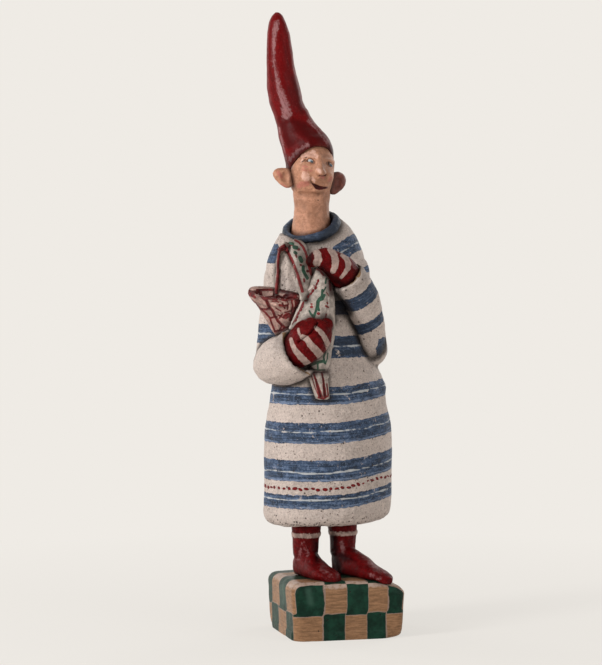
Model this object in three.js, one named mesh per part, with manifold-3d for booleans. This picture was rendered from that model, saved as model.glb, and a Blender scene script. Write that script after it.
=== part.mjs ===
// A nisse figure for a shelf: a tall painted casting of a Christmas elf on a chequered block, 35 cm high.
// Millimetres, +Z up. The origin is the middle of the felt's underside, where the figure stands.
// +X is to the right and -Y to the front of the block; the elf's chest is turned a little to its own right.
//
// It is made as such figures are: solid castings that plug into each other. The boots stand on the block,
// with a steel rod up each leg into the gown. The neck sits in the gown's neck hole with a rolled collar
// round it, the hat is hollow over the skull, each mitten goes into its cuff on a pin, and the folded-paper
// ornaments that the elf hugs are cast one by one and glued between the hands and the chest.
import * as THREE from "three";
import Module from "manifold-3d";
import { mergeVertices } from "three/addons/utils/BufferGeometryUtils.js";

// Driving dimensions

const GLUE_GAP = 0.3; // between two castings that are glued
const SEAT_GAP = 0.3; // under a piece that stands on another
const FELT_GLUE = 0.1; // between the block and its felt
const SOCKET_GAP = 0.25; // round a rod or a pin in its hole

// Block and felt
const PLINTH_SIDE = 66.3;
const PLINTH_HEIGHT = 32.3;
const PLINTH_CORNER = 5; // radius of its upright edges
const PLINTH_TOP_ROUND = 5;
const PLINTH_FOOT_ROUND = 3.5;
const PLINTH_DRAFT = 1.2; // the sides lean in this much towards the foot
const FELT_THICK = 0.6;
const FELT_INSET = 9; // from the block's side

// Turns about the upright, in degrees. The figure's turn is against the block, the others against the figure.
const FIGURE_TURN = -15;
const BODY_TURN = 25;
const HEAD_TURN = 22;
const RIGHT_FOOT_TURN = 30;
const LEFT_FOOT_TURN = 38;

// Boots, measured from the top of the block
const LEG_HEIGHT = 31; // from the block to the hem
const RIGHT_LEG = { x: -17, y: -1.4 };
const LEFT_LEG = { x: 4.4, y: 7.3 };
const LEG_RADIUS = 7.3;
const RIGHT_TOE_REACH = 32.5; // from the leg's middle
const LEFT_TOE_REACH = 42;
const HEEL_REACH = 7.8;
const SOLE_HALF_WIDTH = 8.3;
const INSTEP_HEIGHT = 16.5;
const ANKLE_LEVEL = 20;
const LEG_SOCKET_DEPTH = 7; // how far a leg goes up into the gown
const ROD_RADIUS = 1.5;
const ROD_IN_PLINTH = 20;
const ROD_IN_GOWN = 30;

// Gown: the level above the hem, middle and half sizes of each named section
const HEM = { level: 0, x: -4.2, y: 3, wide: 37.7, deep: 28 };
const HEM_ROUND = 6.8;
const SKIRT = { level: 51, x: -4.3, y: 3, wide: 37.6, deep: 28 };
const HIP = { level: 73, x: -4.8, y: 3, wide: 34, deep: 25.4 };
const WAIST = { level: 90, x: -6.2, y: 3.2, wide: 30.4, deep: 23 };
const CHEST = { level: 119, x: -9.5, y: 4, wide: 27.5, deep: 20 };
const SHOULDER = { level: 147, x: -11.2, y: 4.5, wide: 30, deep: 18 };
const YOKE = { level: 161, x: -11.2, y: 4.5, wide: 25.2, deep: 15.5 };
const NECK_BASE = { level: 170, x: -11.2, y: 5.5, wide: 19, deep: 13.5 };
const NECKLINE = { level: 178, x: -12.6, y: 6.5, wide: 11.5, deep: 10.5 };
const HIP_ROLL = 2.6; // the blouse hangs over the hip on the left by this much
const SKIRT_FOLD = 0.5; // depth of the skirt's soft folds
const SKIRT_FOLDS = 7;
const GOWN_SIDES = 30;

// Upper arms, part of the gown's casting. drop is from the shoulder to the elbow.
const SHOULDER_RADIUS = 12;
const ELBOW_RADIUS = 11.6;
const RIGHT_ARM = { x: -28.5, y: 2, under: 6, drop: 46, elbowX: -34.4, elbowY: -4 };
const LEFT_ARM = { x: 7, y: 6, under: 4, drop: 43.5, elbowX: 18.6, elbowY: 8 };

// Forearm sleeves, from the elbow to the cuff: steps away from the elbow, and the radius at each
const RIGHT_FOREARM = [
  { x: 0.4, y: -4, z: -1.5, radius: 12.8 },
  { x: 3.4, y: -11.5, z: -1.4, radius: 14.2 },
  { x: 8.9, y: -20, z: 0.8, radius: 14.4 },
  { x: 14.9, y: -26, z: 4.8, radius: 13.8 },
];
const LEFT_FOREARM = [
  { x: 0.6, y: -4, z: 1.5, radius: 10 },
  { x: 1, y: -10, z: 13.5, radius: 10 },
  { x: -2.6, y: -19, z: 27, radius: 10.2 },
  { x: -7.6, y: -26, z: 36.4, radius: 10.4 },
  { x: -12, y: -29.5, z: 41.8, radius: 10.3 },
];
const CUFF_WALL = 1.7;
const CUFF_DEPTH = 6;

// Mittens, from the wrist to the fingertips: steps away from the middle of the cuff's mouth
const RIGHT_HAND = [
  { x: -5, y: 3, z: -1.3, radius: 9.8 },
  { x: 0.5, y: -2, z: 2.2, radius: 10.4 },
  { x: 6.5, y: -4.5, z: 7.2, radius: 10.4 },
  { x: 11, y: -4, z: 11.7, radius: 8.4 },
  { x: 13.9, y: -1, z: 14.7, radius: 4.2 },
];
const RIGHT_THUMB = [
  { x: -2.5, y: 0, z: 2.2, radius: 6.5 },
  { x: -1, y: -4, z: 8.2, radius: 5.8 },
  { x: 2.5, y: -5.5, z: 13.7, radius: 4.8 },
  { x: 4.9, y: -4, z: 16.7, radius: 2.4 },
];
const LEFT_HAND = [
  { x: 2.8, y: 2.7, z: -3.5, radius: 8.2 },
  { x: -3, y: -0.5, z: 3.2, radius: 8.9 },
  { x: -9.1, y: -2.5, z: 8.7, radius: 7.4 },
  { x: -15.6, y: -4.5, z: 11.7, radius: 5.4 },
  { x: -19.8, y: -6.5, z: 9.1, radius: 3.4 },
];
const PIN_RADIUS = 1;
const PIN_HALF_LENGTH = 7;

// Collar
const COLLAR = { x: -13.9, y: 1.6, level: 169.2, wide: 14.8, deep: 14.4, roll: 2.6 };
const COLLAR_DIP = 27; // the neckline falls to the front by this many degrees
const COLLAR_LEAN = 13; // and to the figure's right

// Neck and head. The features are measured from the skull's middle.
const NECK_LENGTH = 36.2; // from the collar to the skull's middle
const NECK_RADIUS = 9.8;
const NECK_FLARE = 2.2; // wider by this at the collar
const NECK_IN_GOWN = 10.2;
const NECK_FOOT = { x: 0.3, y: 1.9 }; // from the collar's middle
const NECK_TOP_BACK = 0.4; // behind the skull's middle
const NECK_IN_SKULL = 8; // how far its top goes past the chin
const SKULL = { x: -13.8, y: 1.2, wide: 13, deep: 14, high: 19 };
const HEAD_PITCH = 9; // it looks up by this many degrees
const HEAD_LEAN = 6;
const JAW_SQUARE = 2.7; // 2 for a round jaw, more for a broader one
const NOSE = { out: 3.6, level: -8, wide: 2.9, high: 3 };
const NOSE_BRIDGE = { out: 1.6, level: -2, wide: 2.2, high: 4.4 };
const CHEEK = { out: 1.2, level: -8.4, aside: 7.4, wide: 4, high: 3.8 };
const CHIN = { out: 1.6, level: -16.8, wide: 5, high: 2.6 };
const BROW = { out: 0.7, level: 1.8, aside: 5.4, wide: 3.8, high: 1.8 };
const EYE = { out: -1, level: -1.6, aside: 5.6, wide: 2.8, high: 2.2 };
const MOUTH = { out: -1, level: -13.4, wide: 4.2, high: 1.5 };
const SMILE = 1.3; // how much higher the corners of the mouth are
const EAR = { out: 9, high: 12, thick: 4, level: -9.4, back: 0.5, cup: 1.1 };
const EAR_SWEEP = 14; // back, in degrees
const EAR_FAN = 6; // the top leans out by this many degrees
const EAR_TAPER = 0.34; // the top is wider than the middle by this share, and the lobe narrower
const EAR_FLARE = 0.2; // and the top stands further out by this share
const EAR_ROOT = 4; // how far an ear reaches into the side of the head

// Hat: its middle is measured from the skull's, and at is the share of the way from the rim to the tip
const HAT_HEIGHT = 91.4; // from the rim at the ears to the tip
const HAT_RIM_LEVEL = -4.4; // below the skull's middle
const HAT_RISE = 15.5; // of the rim over the brow, above the rim at the ears
const HAT_NAPE = 7; // of the rim at the nape, below the rim at the ears
const HAT_WALL = 0.9; // least, over the skull
const HAT_SECTIONS = [
  { at: 0, x: -0.6, y: 1, wide: 13.4, deep: 15 },
  { at: 0.088, x: -0.9, y: 1.2, wide: 13.5, deep: 15.3 },
  { at: 0.164, x: -2.3, y: 1.6, wide: 13.6, deep: 15 },
  { at: 0.219, x: -4.5, y: 2, wide: 13.3, deep: 14 },
  { at: 0.274, x: -7.5, y: 2.4, wide: 11.6, deep: 12.2 },
  { at: 0.361, x: -11.4, y: 2.8, wide: 10.2, deep: 10.5 },
  { at: 0.438, x: -14.7, y: 3, wide: 9.9, deep: 9.9 },
  { at: 0.525, x: -16.2, y: 3, wide: 9.5, deep: 9.5 },
  { at: 0.656, x: -17.8, y: 2.8, wide: 8, deep: 8 },
  { at: 0.777, x: -18.5, y: 2.4, wide: 7.2, deep: 7.2 },
  { at: 0.875, x: -19.3, y: 2, wide: 6.3, deep: 6.3 },
  { at: 0.941, x: -19.8, y: 1.8, wide: 4.9, deep: 4.9 },
  { at: 0.98, x: -19.8, y: 1.8, wide: 3.2, deep: 3.2 },
  { at: 1, x: -19.8, y: 1.8, wide: 1.2, deep: 1.2 },
];

// Painted paper cone: at is the share of the way from its gathered foot to its rounded top
const CONE_FOOT_LEVEL = 88; // above the hem
const CONE_LENGTH = 58.5;
const CONE_SECTIONS = [
  { at: 0, x: -10.4, y: -25.5, wide: 5.4, deep: 5 },
  { at: 0.085, x: -11, y: -25.4, wide: 8.2, deep: 6.2 },
  { at: 0.205, x: -13.6, y: -25, wide: 11.6, deep: 7.2 },
  { at: 0.342, x: -13.4, y: -24.4, wide: 13.2, deep: 7.8 },
  { at: 0.496, x: -12.2, y: -24, wide: 12, deep: 7.8 },
  { at: 0.65, x: -10, y: -23.4, wide: 9.7, deep: 7.2 },
  { at: 0.786, x: -8.4, y: -22.8, wide: 7.3, deep: 6.4 },
  { at: 0.906, x: -7.6, y: -22.4, wide: 4.8, deep: 5 },
  { at: 1, x: -7.6, y: -22.2, wide: 2.2, deep: 2.2 },
];
const CONE_SEAM = 0.9; // how far the rolled edge stands up
const CONE_SEAM_AT = 202.5; // its place round the cone, in degrees
const TIP_LENGTH = 15.4;
const TIP_FOOT = { x: -7.2, wide: 3.6, deep: 3 };
const TIP_PLEATS = 9;
const TIP_PLEAT_DEPTH = 0.5;
const TIP_ROUND = 1; // how much narrower its very end is
const BAND_HEIGHT = 3.1; // the gathered band at the top of the tip
const BAND_PROUD = 0.7;

// Woven basket and its strap handle
const BASKET_FOOT = { x: -24.6, y: -20, level: 98, wide: 2.6, deep: 2.6 };
const BASKET_HEIGHT = 32.5;
const BASKET_MOUTH = { x: -34.2, y: -21.5, wide: 14.2, deep: 8.6 };
const BASKET_TURN = -12;
const BASKET_TIP = 10; // the mouth faces forward by this many degrees
const BASKET_LEAN = 5; // and falls to the figure's left
const BASKET_WALL = 1.5;
const BASKET_HOLLOW = 14;
const BASKET_RIM_PROUD = 0.8;
const BASKET_RIM_HEIGHT = 4.6;
const HANDLE_HEIGHT = 35.5; // from its feet behind the rim
const HANDLE_FOOT_HALF = 11;
const HANDLE_TOP_HALF = 6.6;
const HANDLE_STRAP = 10.5; // width of the strap
const HANDLE_THICK = 1.5;
const HANDLE_TURN = -46;
const HANDLE_SHIFT = { x: 7.6, y: -2 }; // of its front edge from the mouth's middle
const HANDLE_LEAN = 3; // back, against the chest
const HANDLE_TILT = 7; // to the figure's right
const HANDLE_SINK = 3; // how far its feet go down behind the basket's rim

// Making solids

const wasm = await Module();
wasm.setup();

// A ready-made shape with its corners shared between its faces. Nothing has turned or scaled it yet.
function welded(geometry) {
  geometry.deleteAttribute("normal");
  geometry.deleteAttribute("uv");
  return mergeVertices(geometry, 1e-4);
}

// A closed geometry with shared corners, as a solid that can be cut and joined.
function solid(geometry) {
  const mesh = new wasm.Mesh({
    numProp: 3,
    vertProperties: geometry.attributes.position.array,
    triVerts: new Uint32Array(geometry.index.array),
  });
  return new wasm.Manifold(mesh);
}

// A solid back as a geometry, without the crumbs that a cut may leave.
function geometryOf(body) {
  const main = body.decompose().sort((a, b) => b.volume() - a.volume())[0];
  const { vertProperties, triVerts, numProp } = main.getMesh();
  const points = new Float32Array((vertProperties.length / numProp) * 3);
  for (let i = 0; i * 3 < points.length; i++) {
    points.set(vertProperties.subarray(i * numProp, i * numProp + 3), i * 3);
  }
  const geometry = new THREE.BufferGeometry();
  geometry.setAttribute("position", new THREE.BufferAttribute(points, 3));
  geometry.setIndex(new THREE.BufferAttribute(triVerts, 1));
  geometry.computeVertexNormals();
  return geometry;
}

// A closed skin over rings of equally many points, with a fan over each end.
function loft(rings) {
  const sides = rings[0].length;
  const points = rings.flat();
  const middle = (ring) => ring.reduce((sum, p) => sum.add(p), new THREE.Vector3()).divideScalar(sides);
  points.push(middle(rings[0]), middle(rings[rings.length - 1]));
  const firstPole = points.length - 2;
  const lastPole = points.length - 1;
  const index = [];
  for (let i = 0; i < sides; i++) {
    const next = (i + 1) % sides;
    index.push(firstPole, next, i);
    for (let r = 0; r + 1 < rings.length; r++) {
      const low = r * sides;
      const high = low + sides;
      index.push(low + i, low + next, high + next, low + i, high + next, high + i);
    }
    index.push(lastPole, lastPole - 1 - sides + i, lastPole - 1 - sides + next);
  }
  const geometry = new THREE.BufferGeometry().setFromPoints(points);
  geometry.setIndex(index);
  return solid(geometry);
}

const radians = THREE.MathUtils.degToRad;
const bump = (u, v) => Math.exp(-u * u - v * v);

// A point from a step away from another.
const stepFrom = (origin, { x, y, z }) => new THREE.Vector3(origin.x + x, origin.y + y, origin.z + z);

// Sections of named sizes, smoothed through: each field is a curve over the level.
function sectionsBetween(sections, levels) {
  const fields = Object.keys(sections[0]);
  const values = sections.flatMap((s) => fields.map((f) => s[f]));
  const heights = sections.map((s) => s.level);
  const track = new THREE.CubicInterpolant(heights, values, fields.length);
  return levels.map((level) => {
    const found = track.evaluate(level);
    return Object.fromEntries(fields.map((f, i) => [f, found[i]]));
  });
}

const evenLevels = (from, to, steps) =>
  Array.from({ length: steps + 1 }, (_, i) => from + ((to - from) * i) / steps);

// A level oval ring. square is 2 for an ellipse and more for a squarer oval; shape may add to the radius.
function ovalRing({ x, y, level, wide, deep, turn = 0, square = 2 }, sides, shape = () => 0) {
  const spin = radians(turn);
  return Array.from({ length: sides }, (_, i) => {
    const angle = (2 * Math.PI * i) / sides;
    const c = Math.cos(angle);
    const s = Math.sin(angle);
    const reach = (Math.abs(c) ** square + Math.abs(s) ** square) ** (-1 / square);
    const extra = shape(angle, level);
    const u = (wide * reach + extra) * c;
    const v = (deep * reach + extra) * s;
    return new THREE.Vector3(
      x + u * Math.cos(spin) - v * Math.sin(spin),
      y + u * Math.sin(spin) + v * Math.cos(spin),
      level,
    );
  });
}

// A limb: round sections along a smooth path, with domed ends. domes says how round each end is, 0 for flat.
function limb(path, radii, { sides = 16, steps = 7, domes = [1, 1], grow = 0 } = {}) {
  const curve = new THREE.CatmullRomCurve3(path);
  const frames = curve.computeFrenetFrames(steps, false);
  const places = radii.map((_, i) => i / (radii.length - 1));
  const track = new THREE.CubicInterpolant(places, radii, 1);
  const rings = [];
  const addRing = (at, along, radius, step) => {
    const centre = curve.getPoint(at).addScaledVector(frames.tangents[step], along);
    rings.push(
      Array.from({ length: sides }, (_, i) => {
        const angle = (2 * Math.PI * i) / sides;
        return new THREE.Vector3()
          .addScaledVector(frames.normals[step], Math.cos(angle) * radius)
          .addScaledVector(frames.binormals[step], Math.sin(angle) * radius)
          .add(centre);
      }),
    );
  };
  const domeSteps = [15, 40, 65];
  const firstRadius = radii[0] + grow;
  const lastRadius = radii[radii.length - 1] + grow;
  for (const degrees of domes[0] ? domeSteps : []) {
    const a = radians(degrees);
    addRing(0, -firstRadius * domes[0] * Math.cos(a), firstRadius * Math.sin(a), 0);
  }
  for (let step = 0; step <= steps; step++) {
    const t = step / steps;
    const ends = domes[0] ? 0 : step === 0 ? -grow : 0;
    const far = domes[1] ? 0 : step === steps ? grow : 0;
    addRing(t, ends + far, track.evaluate(t)[0] + grow, step);
  }
  for (const degrees of domes[1] ? [...domeSteps].reverse() : []) {
    const a = radians(degrees);
    addRing(1, lastRadius * domes[1] * Math.cos(a), lastRadius * Math.sin(a), steps);
  }
  return loft(rings);
}

// A round bar between two points.
function bar(from, to, radius, sides = 16) {
  const along = new THREE.Vector3().subVectors(to, from);
  const geometry = welded(new THREE.CylinderGeometry(radius, radius, along.length(), sides));
  const upright = new THREE.Vector3(0, 1, 0);
  geometry.applyQuaternion(new THREE.Quaternion().setFromUnitVectors(upright, along.clone().normalize()));
  geometry.translate(...new THREE.Vector3().addVectors(from, to).multiplyScalar(0.5).toArray());
  return solid(geometry);
}

const join = (...bodies) => bodies.reduce((all, body) => all.add(body));
const cut = (body, ...tools) => tools.reduce((left, tool) => left.subtract(tool), body);

// Frames

// The figure is worked out from the top of the block, in its own turned frame.
const FIGURE_BASE = FELT_THICK + PLINTH_HEIGHT;
const intoRow = (body) => body.rotate([0, 0, FIGURE_TURN]).translate([0, 0, FIGURE_BASE]);
// Everything from the hem up is measured from the hem.
const fromHem = (body) => body.translate([0, 0, -LEG_HEIGHT]);

// Block and felt

function blockRing(level, half, corner) {
  const ring = [];
  const straight = half - corner;
  const steps = 4;
  for (let quarter = 0; quarter < 4; quarter++) {
    const start = (quarter * Math.PI) / 2;
    const cornerX = quarter === 0 || quarter === 3 ? straight : -straight;
    const cornerY = quarter < 2 ? straight : -straight;
    for (let i = 0; i <= steps; i++) {
      const angle = start + (i / steps) * (Math.PI / 2);
      const x = cornerX + corner * Math.cos(angle);
      const y = cornerY + corner * Math.sin(angle);
      ring.push(new THREE.Vector3(x, y, level));
    }
  }
  return ring;
}

function plinthSolid() {
  const half = PLINTH_SIDE / 2;
  const foot = FELT_THICK + FELT_GLUE;
  const top = FIGURE_BASE;
  const ring = (level, inset) => blockRing(level, half - inset, PLINTH_CORNER - inset * 0.5);
  const rings = [];
  for (const degrees of [0, 25, 50, 90]) {
    const a = radians(degrees);
    const inset = PLINTH_DRAFT + PLINTH_FOOT_ROUND * (1 - Math.sin(a));
    rings.push(ring(foot + PLINTH_FOOT_ROUND * (1 - Math.cos(a)), inset));
  }
  for (const degrees of [90, 65, 40, 18, 0]) {
    const a = radians(degrees);
    rings.push(ring(top - PLINTH_TOP_ROUND * (1 - Math.cos(a)), PLINTH_TOP_ROUND * (1 - Math.sin(a))));
  }
  return loft(rings);
}

function feltSolid() {
  const half = PLINTH_SIDE / 2 - FELT_INSET;
  return loft([blockRing(0, half, PLINTH_CORNER), blockRing(FELT_THICK, half, PLINTH_CORNER)]);
}

// Boots

// A soft pointed boot: the foot's upright sections from heel to toe, and the leg over it.
function bootSolid({ x, y }, turn, toeReach, grow = 0) {
  const along = new THREE.Vector3(Math.sin(radians(turn)), -Math.cos(radians(turn)), 0);
  const aside = new THREE.Vector3(-along.y, along.x, 0);
  const stations = [
    { at: 0, wide: 0.34, high: 0.6 },
    { at: 0.08, wide: 0.74, high: 0.79 },
    { at: 0.2, wide: 0.85, high: 1 },
    { at: 0.36, wide: 0.88, high: 0.88 },
    { at: 0.52, wide: 0.94, high: 0.68 },
    { at: 0.68, wide: 1, high: 0.52 },
    { at: 0.82, wide: 0.92, high: 0.42 },
    { at: 0.93, wide: 0.62, high: 0.34 },
    { at: 1, wide: 0.2, high: 0.22 },
  ];
  const length = HEEL_REACH + toeReach;
  const sides = 16;
  const footRings = stations.map(({ at, wide, high }, i) => {
    const top = INSTEP_HEIGHT * high;
    const end = i === 0 ? -grow : i === stations.length - 1 ? grow : 0;
    const middle = new THREE.Vector3(x, y, top * 0.42).addScaledVector(along, at * length - HEEL_REACH + end);
    return Array.from({ length: sides }, (_, k) => {
      const angle = (2 * Math.PI * (k + 0.5)) / sides;
      return middle
        .clone()
        .addScaledVector(aside, (SOLE_HALF_WIDTH * wide + grow) * Math.cos(angle))
        .add(new THREE.Vector3(0, 0, (top * 0.58 + grow) * Math.sin(angle)));
    });
  });
  const legTop = LEG_HEIGHT + LEG_SOCKET_DEPTH;
  const legRings = [
    { level: ANKLE_LEVEL * 0.36, r: LEG_RADIUS * 0.72 },
    { level: ANKLE_LEVEL * 0.6, r: LEG_RADIUS * 0.98 },
    { level: ANKLE_LEVEL, r: LEG_RADIUS },
    { level: (ANKLE_LEVEL + LEG_HEIGHT) / 2, r: LEG_RADIUS * 1.07 },
    { level: legTop + grow, r: LEG_RADIUS * 1.16 },
  ].map(({ level, r }) => ovalRing({ x, y, level, wide: r + grow, deep: r + grow, turn: 4 }, sides));
  return join(loft(footRings), loft(legRings));
}

// Everything below the top of the block, to cut the soles flat on it.
function underfoot() {
  const deep = PLINTH_HEIGHT;
  const geometry = welded(new THREE.BoxGeometry(4 * PLINTH_SIDE, 4 * PLINTH_SIDE, deep));
  geometry.translate(0, 0, SEAT_GAP - deep / 2);
  return solid(geometry);
}

const rodBetween = (leg, radius, grow = 0) =>
  bar(
    new THREE.Vector3(leg.x, leg.y, -ROD_IN_PLINTH - grow),
    new THREE.Vector3(leg.x, leg.y, LEG_HEIGHT + ROD_IN_GOWN + grow),
    radius + grow,
    12,
  );

// Gown

const shoulderOf = ({ x, y, under }) => new THREE.Vector3(x, y, SHOULDER.level - under);
const elbowOf = ({ elbowX, elbowY, under, drop }) =>
  new THREE.Vector3(elbowX, elbowY, SHOULDER.level - under - drop);

function gownSolid(grow = 0) {
  const named = [HEM, SKIRT, HIP, WAIST, CHEST, SHOULDER, YOKE, NECK_BASE, NECKLINE];
  const foldsFade = (level) => THREE.MathUtils.smoothstep(HIP.level - level, 0, 30);
  const roll = (angle, level) => {
    const side = Math.cos(angle + radians(BODY_TURN));
    return HIP_ROLL * Math.max(0, side) ** 2 * bump((level - HIP.level - 6) / 9, 0);
  };
  const fold = (angle, level) => SKIRT_FOLD * foldsFade(level) * Math.sin(SKIRT_FOLDS * angle + level / 40);
  const shape = (angle, level) => fold(angle, level) + roll(angle, level);
  const rings = [0, 20, 45, 68].map((degrees) => {
    const a = radians(degrees);
    const inset = HEM_ROUND * (1 - Math.sin(a)) - grow;
    const level = HEM.level - grow + HEM_ROUND * (1 - Math.cos(a));
    const section = { ...HEM, level, wide: HEM.wide - inset, deep: HEM.deep - inset, turn: BODY_TURN };
    return ovalRing(section, GOWN_SIDES);
  });
  const levels = [
    ...evenLevels(HEM.level + HEM_ROUND, SKIRT.level, 3),
    ...evenLevels(SKIRT.level, WAIST.level, 6).slice(1),
    ...evenLevels(WAIST.level, SHOULDER.level, 4).slice(1),
    ...evenLevels(SHOULDER.level, NECKLINE.level, 4).slice(1),
  ];
  for (const s of sectionsBetween(named, levels)) {
    const level = s.level + (s.level >= NECKLINE.level ? grow : 0);
    const section = { ...s, level, wide: s.wide + grow, deep: s.deep + grow, turn: BODY_TURN };
    rings.push(ovalRing(section, GOWN_SIDES, shape));
  }
  const upperArm = (arm) => {
    const shoulder = shoulderOf(arm);
    const elbow = elbowOf(arm);
    const path = [shoulder, shoulder.clone().lerp(elbow, 0.5), elbow];
    return limb(path, [SHOULDER_RADIUS, SHOULDER_RADIUS, ELBOW_RADIUS], { steps: 4, grow });
  };
  return join(loft(rings), upperArm(RIGHT_ARM), upperArm(LEFT_ARM));
}

// The collar's own tilted plane: local +Z is the way the neck comes out.
const collarPlace = new THREE.Matrix4().compose(
  new THREE.Vector3(COLLAR.x, COLLAR.y, COLLAR.level),
  new THREE.Quaternion().setFromEuler(new THREE.Euler(radians(COLLAR_DIP), radians(-COLLAR_LEAN), 0)),
  new THREE.Vector3(1, 1, 1),
);

function collarSolid(grow = 0) {
  const around = 24;
  const section = 7;
  const points = [];
  const index = [];
  for (let i = 0; i < around; i++) {
    const a = (2 * Math.PI * i) / around;
    for (let k = 0; k < section; k++) {
      const b = (2 * Math.PI * k) / section;
      const out = (COLLAR.roll + grow) * Math.cos(b);
      const up = (COLLAR.roll * 1.15 + grow) * Math.sin(b);
      const x = (COLLAR.wide + out) * Math.cos(a);
      const y = (COLLAR.deep + out) * Math.sin(a);
      points.push(new THREE.Vector3(x, y, up));
      const here = i * section + k;
      const aside = i * section + ((k + 1) % section);
      const ahead = ((i + 1) % around) * section;
      index.push(here, ahead + k, aside, aside, ahead + k, ahead + ((k + 1) % section));
    }
  }
  const geometry = new THREE.BufferGeometry().setFromPoints(points);
  geometry.setIndex(index);
  return solid(geometry.applyMatrix4(collarPlace));
}

// What the neckline leaves open above the gown, inside the collar's middle line.
function necklineCut(grow = 0) {
  const height = 30;
  const geometry = welded(new THREE.CylinderGeometry(1, 1, height, 24));
  geometry.rotateX(Math.PI / 2);
  geometry.scale(COLLAR.wide + COLLAR.roll, COLLAR.deep + COLLAR.roll, 1);
  geometry.translate(0, 0, height / 2 - COLLAR.roll / 2 + grow);
  return solid(geometry.applyMatrix4(collarPlace));
}

// Sleeves and mittens

const pathFrom = (origin, steps) => steps.map((step) => stepFrom(origin, step));
const radiiOf = (steps) => steps.map(({ radius }) => radius);
const forearmPath = (arm, steps) => pathFrom(elbowOf(arm), steps);
const rightPath = forearmPath(RIGHT_ARM, RIGHT_FOREARM);
const leftPath = forearmPath(LEFT_ARM, LEFT_FOREARM);
const rightCuff = rightPath[rightPath.length - 1];
const leftCuff = leftPath[leftPath.length - 1];

const forearm = (path, steps, grow = 0) => limb(path, radiiOf(steps), { domes: [0.8, 0], grow });

// The hollow of a cuff, at the far end of its forearm.
function cuffHollow(path, steps, grow = 0) {
  const mouth = path[path.length - 1];
  const inward = new THREE.Vector3().subVectors(path[path.length - 2], mouth).normalize();
  const radius = steps[steps.length - 1].radius - CUFF_WALL + grow;
  const bottom = mouth.clone().addScaledVector(inward, CUFF_DEPTH + grow);
  const past = mouth.clone().addScaledVector(inward, -CUFF_DEPTH);
  return bar(bottom, past, radius, 24);
}

function wristPin(path, grow = 0) {
  const mouth = path[path.length - 1];
  const inward = new THREE.Vector3().subVectors(path[path.length - 2], mouth).normalize();
  const middle = mouth.clone().addScaledVector(inward, CUFF_DEPTH);
  const half = PIN_HALF_LENGTH + grow;
  const from = middle.clone().addScaledVector(inward, half);
  const to = middle.clone().addScaledVector(inward, -half);
  return bar(from, to, PIN_RADIUS + grow, 10);
}

const handLimb = (cuff, steps, options) => limb(pathFrom(cuff, steps), radiiOf(steps), options);
const rightMittenSolid = () =>
  join(handLimb(rightCuff, RIGHT_HAND), handLimb(rightCuff, RIGHT_THUMB, { steps: 5, sides: 12 }));
const leftMittenSolid = () => handLimb(leftCuff, LEFT_HAND);

// Head, ears and hat

const skullLevel = COLLAR.level + NECK_LENGTH;
const headPlace = new THREE.Matrix4().compose(
  new THREE.Vector3(SKULL.x, SKULL.y, skullLevel),
  new THREE.Quaternion().setFromEuler(
    new THREE.Euler(radians(-HEAD_PITCH), radians(HEAD_LEAN), radians(HEAD_TURN), "ZYX"),
  ),
  new THREE.Vector3(1, 1, 1),
);

// How far the face stands out in front of the skull, at x aside of its middle and z above it.
function relief(x, z) {
  const on = (f, aside = 0, skew = 0) => f.out * bump((x - aside) / f.wide, (z - f.level - skew) / f.high);
  const pair = (f) => on(f, f.aside) + on(f, -f.aside);
  return (
    on(NOSE) + on(NOSE_BRIDGE) + on(CHIN) + pair(CHEEK) + pair(BROW) + pair(EYE) +
    on(MOUTH, 0, SMILE * (x / MOUTH.wide) ** 2)
  );
}

function headSolid(grow = 0) {
  const around = 26;
  const steps = 22;
  const rings = [];
  for (let i = 1; i < steps; i++) {
    const rise = -Math.cos(Math.PI * (i / steps) ** 1.1);
    const z = rise * (SKULL.high + grow);
    const share = Math.sqrt(1 - rise * rise);
    const jaw = rise < 0 ? (1 - Math.abs(rise) ** JAW_SQUARE) ** (1 / JAW_SQUARE) / share : 1;
    rings.push(
      Array.from({ length: around }, (_, k) => {
        const aside = (2 * k) / around - 1;
        const angle = Math.PI * (aside * (0.6 + 0.4 * Math.abs(aside)) - 0.5);
        const x = (SKULL.wide + grow) * share * jaw * Math.cos(angle);
        const y = (SKULL.deep + grow) * share * Math.sin(angle);
        const front = THREE.MathUtils.smoothstep(-Math.sin(angle) * share, 0.1, 0.6);
        return new THREE.Vector3(x, y - front * relief(x, z), z).applyMatrix4(headPlace);
      }),
    );
  }
  return join(loft(rings), neckSolid(grow));
}

// The place that takes the skull, a little easier than the skull itself.
function skullSocket(grow = 0) {
  const geometry = welded(new THREE.SphereGeometry(1, 20, 12));
  const ease = 1.02;
  const room = GLUE_GAP + grow;
  const { wide, deep, high } = SKULL;
  geometry.scale((wide + room) * ease, (deep + BROW.out + room) * ease, (high + room) * ease);
  return solid(geometry.applyMatrix4(headPlace));
}

function neckSolid(grow = 0) {
  const steps = 6;
  const rings = [];
  const footLevel = COLLAR.level - NECK_IN_GOWN - grow;
  const foot = new THREE.Vector3(COLLAR.x + NECK_FOOT.x, COLLAR.y + NECK_FOOT.y, footLevel);
  const top = new THREE.Vector3(SKULL.x, SKULL.y + NECK_TOP_BACK, skullLevel - SKULL.high + NECK_IN_SKULL);
  for (let i = 0; i <= steps; i++) {
    const t = i / steps;
    const centre = new THREE.Vector3().lerpVectors(foot, top, t);
    const flare = NECK_FLARE * THREE.MathUtils.smoothstep(0.6 - t, 0, 0.5);
    const r = NECK_RADIUS + flare + grow;
    rings.push(ovalRing({ x: centre.x, y: centre.y, level: centre.z, wide: r, deep: r }, 24));
  }
  return loft(rings);
}

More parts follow.
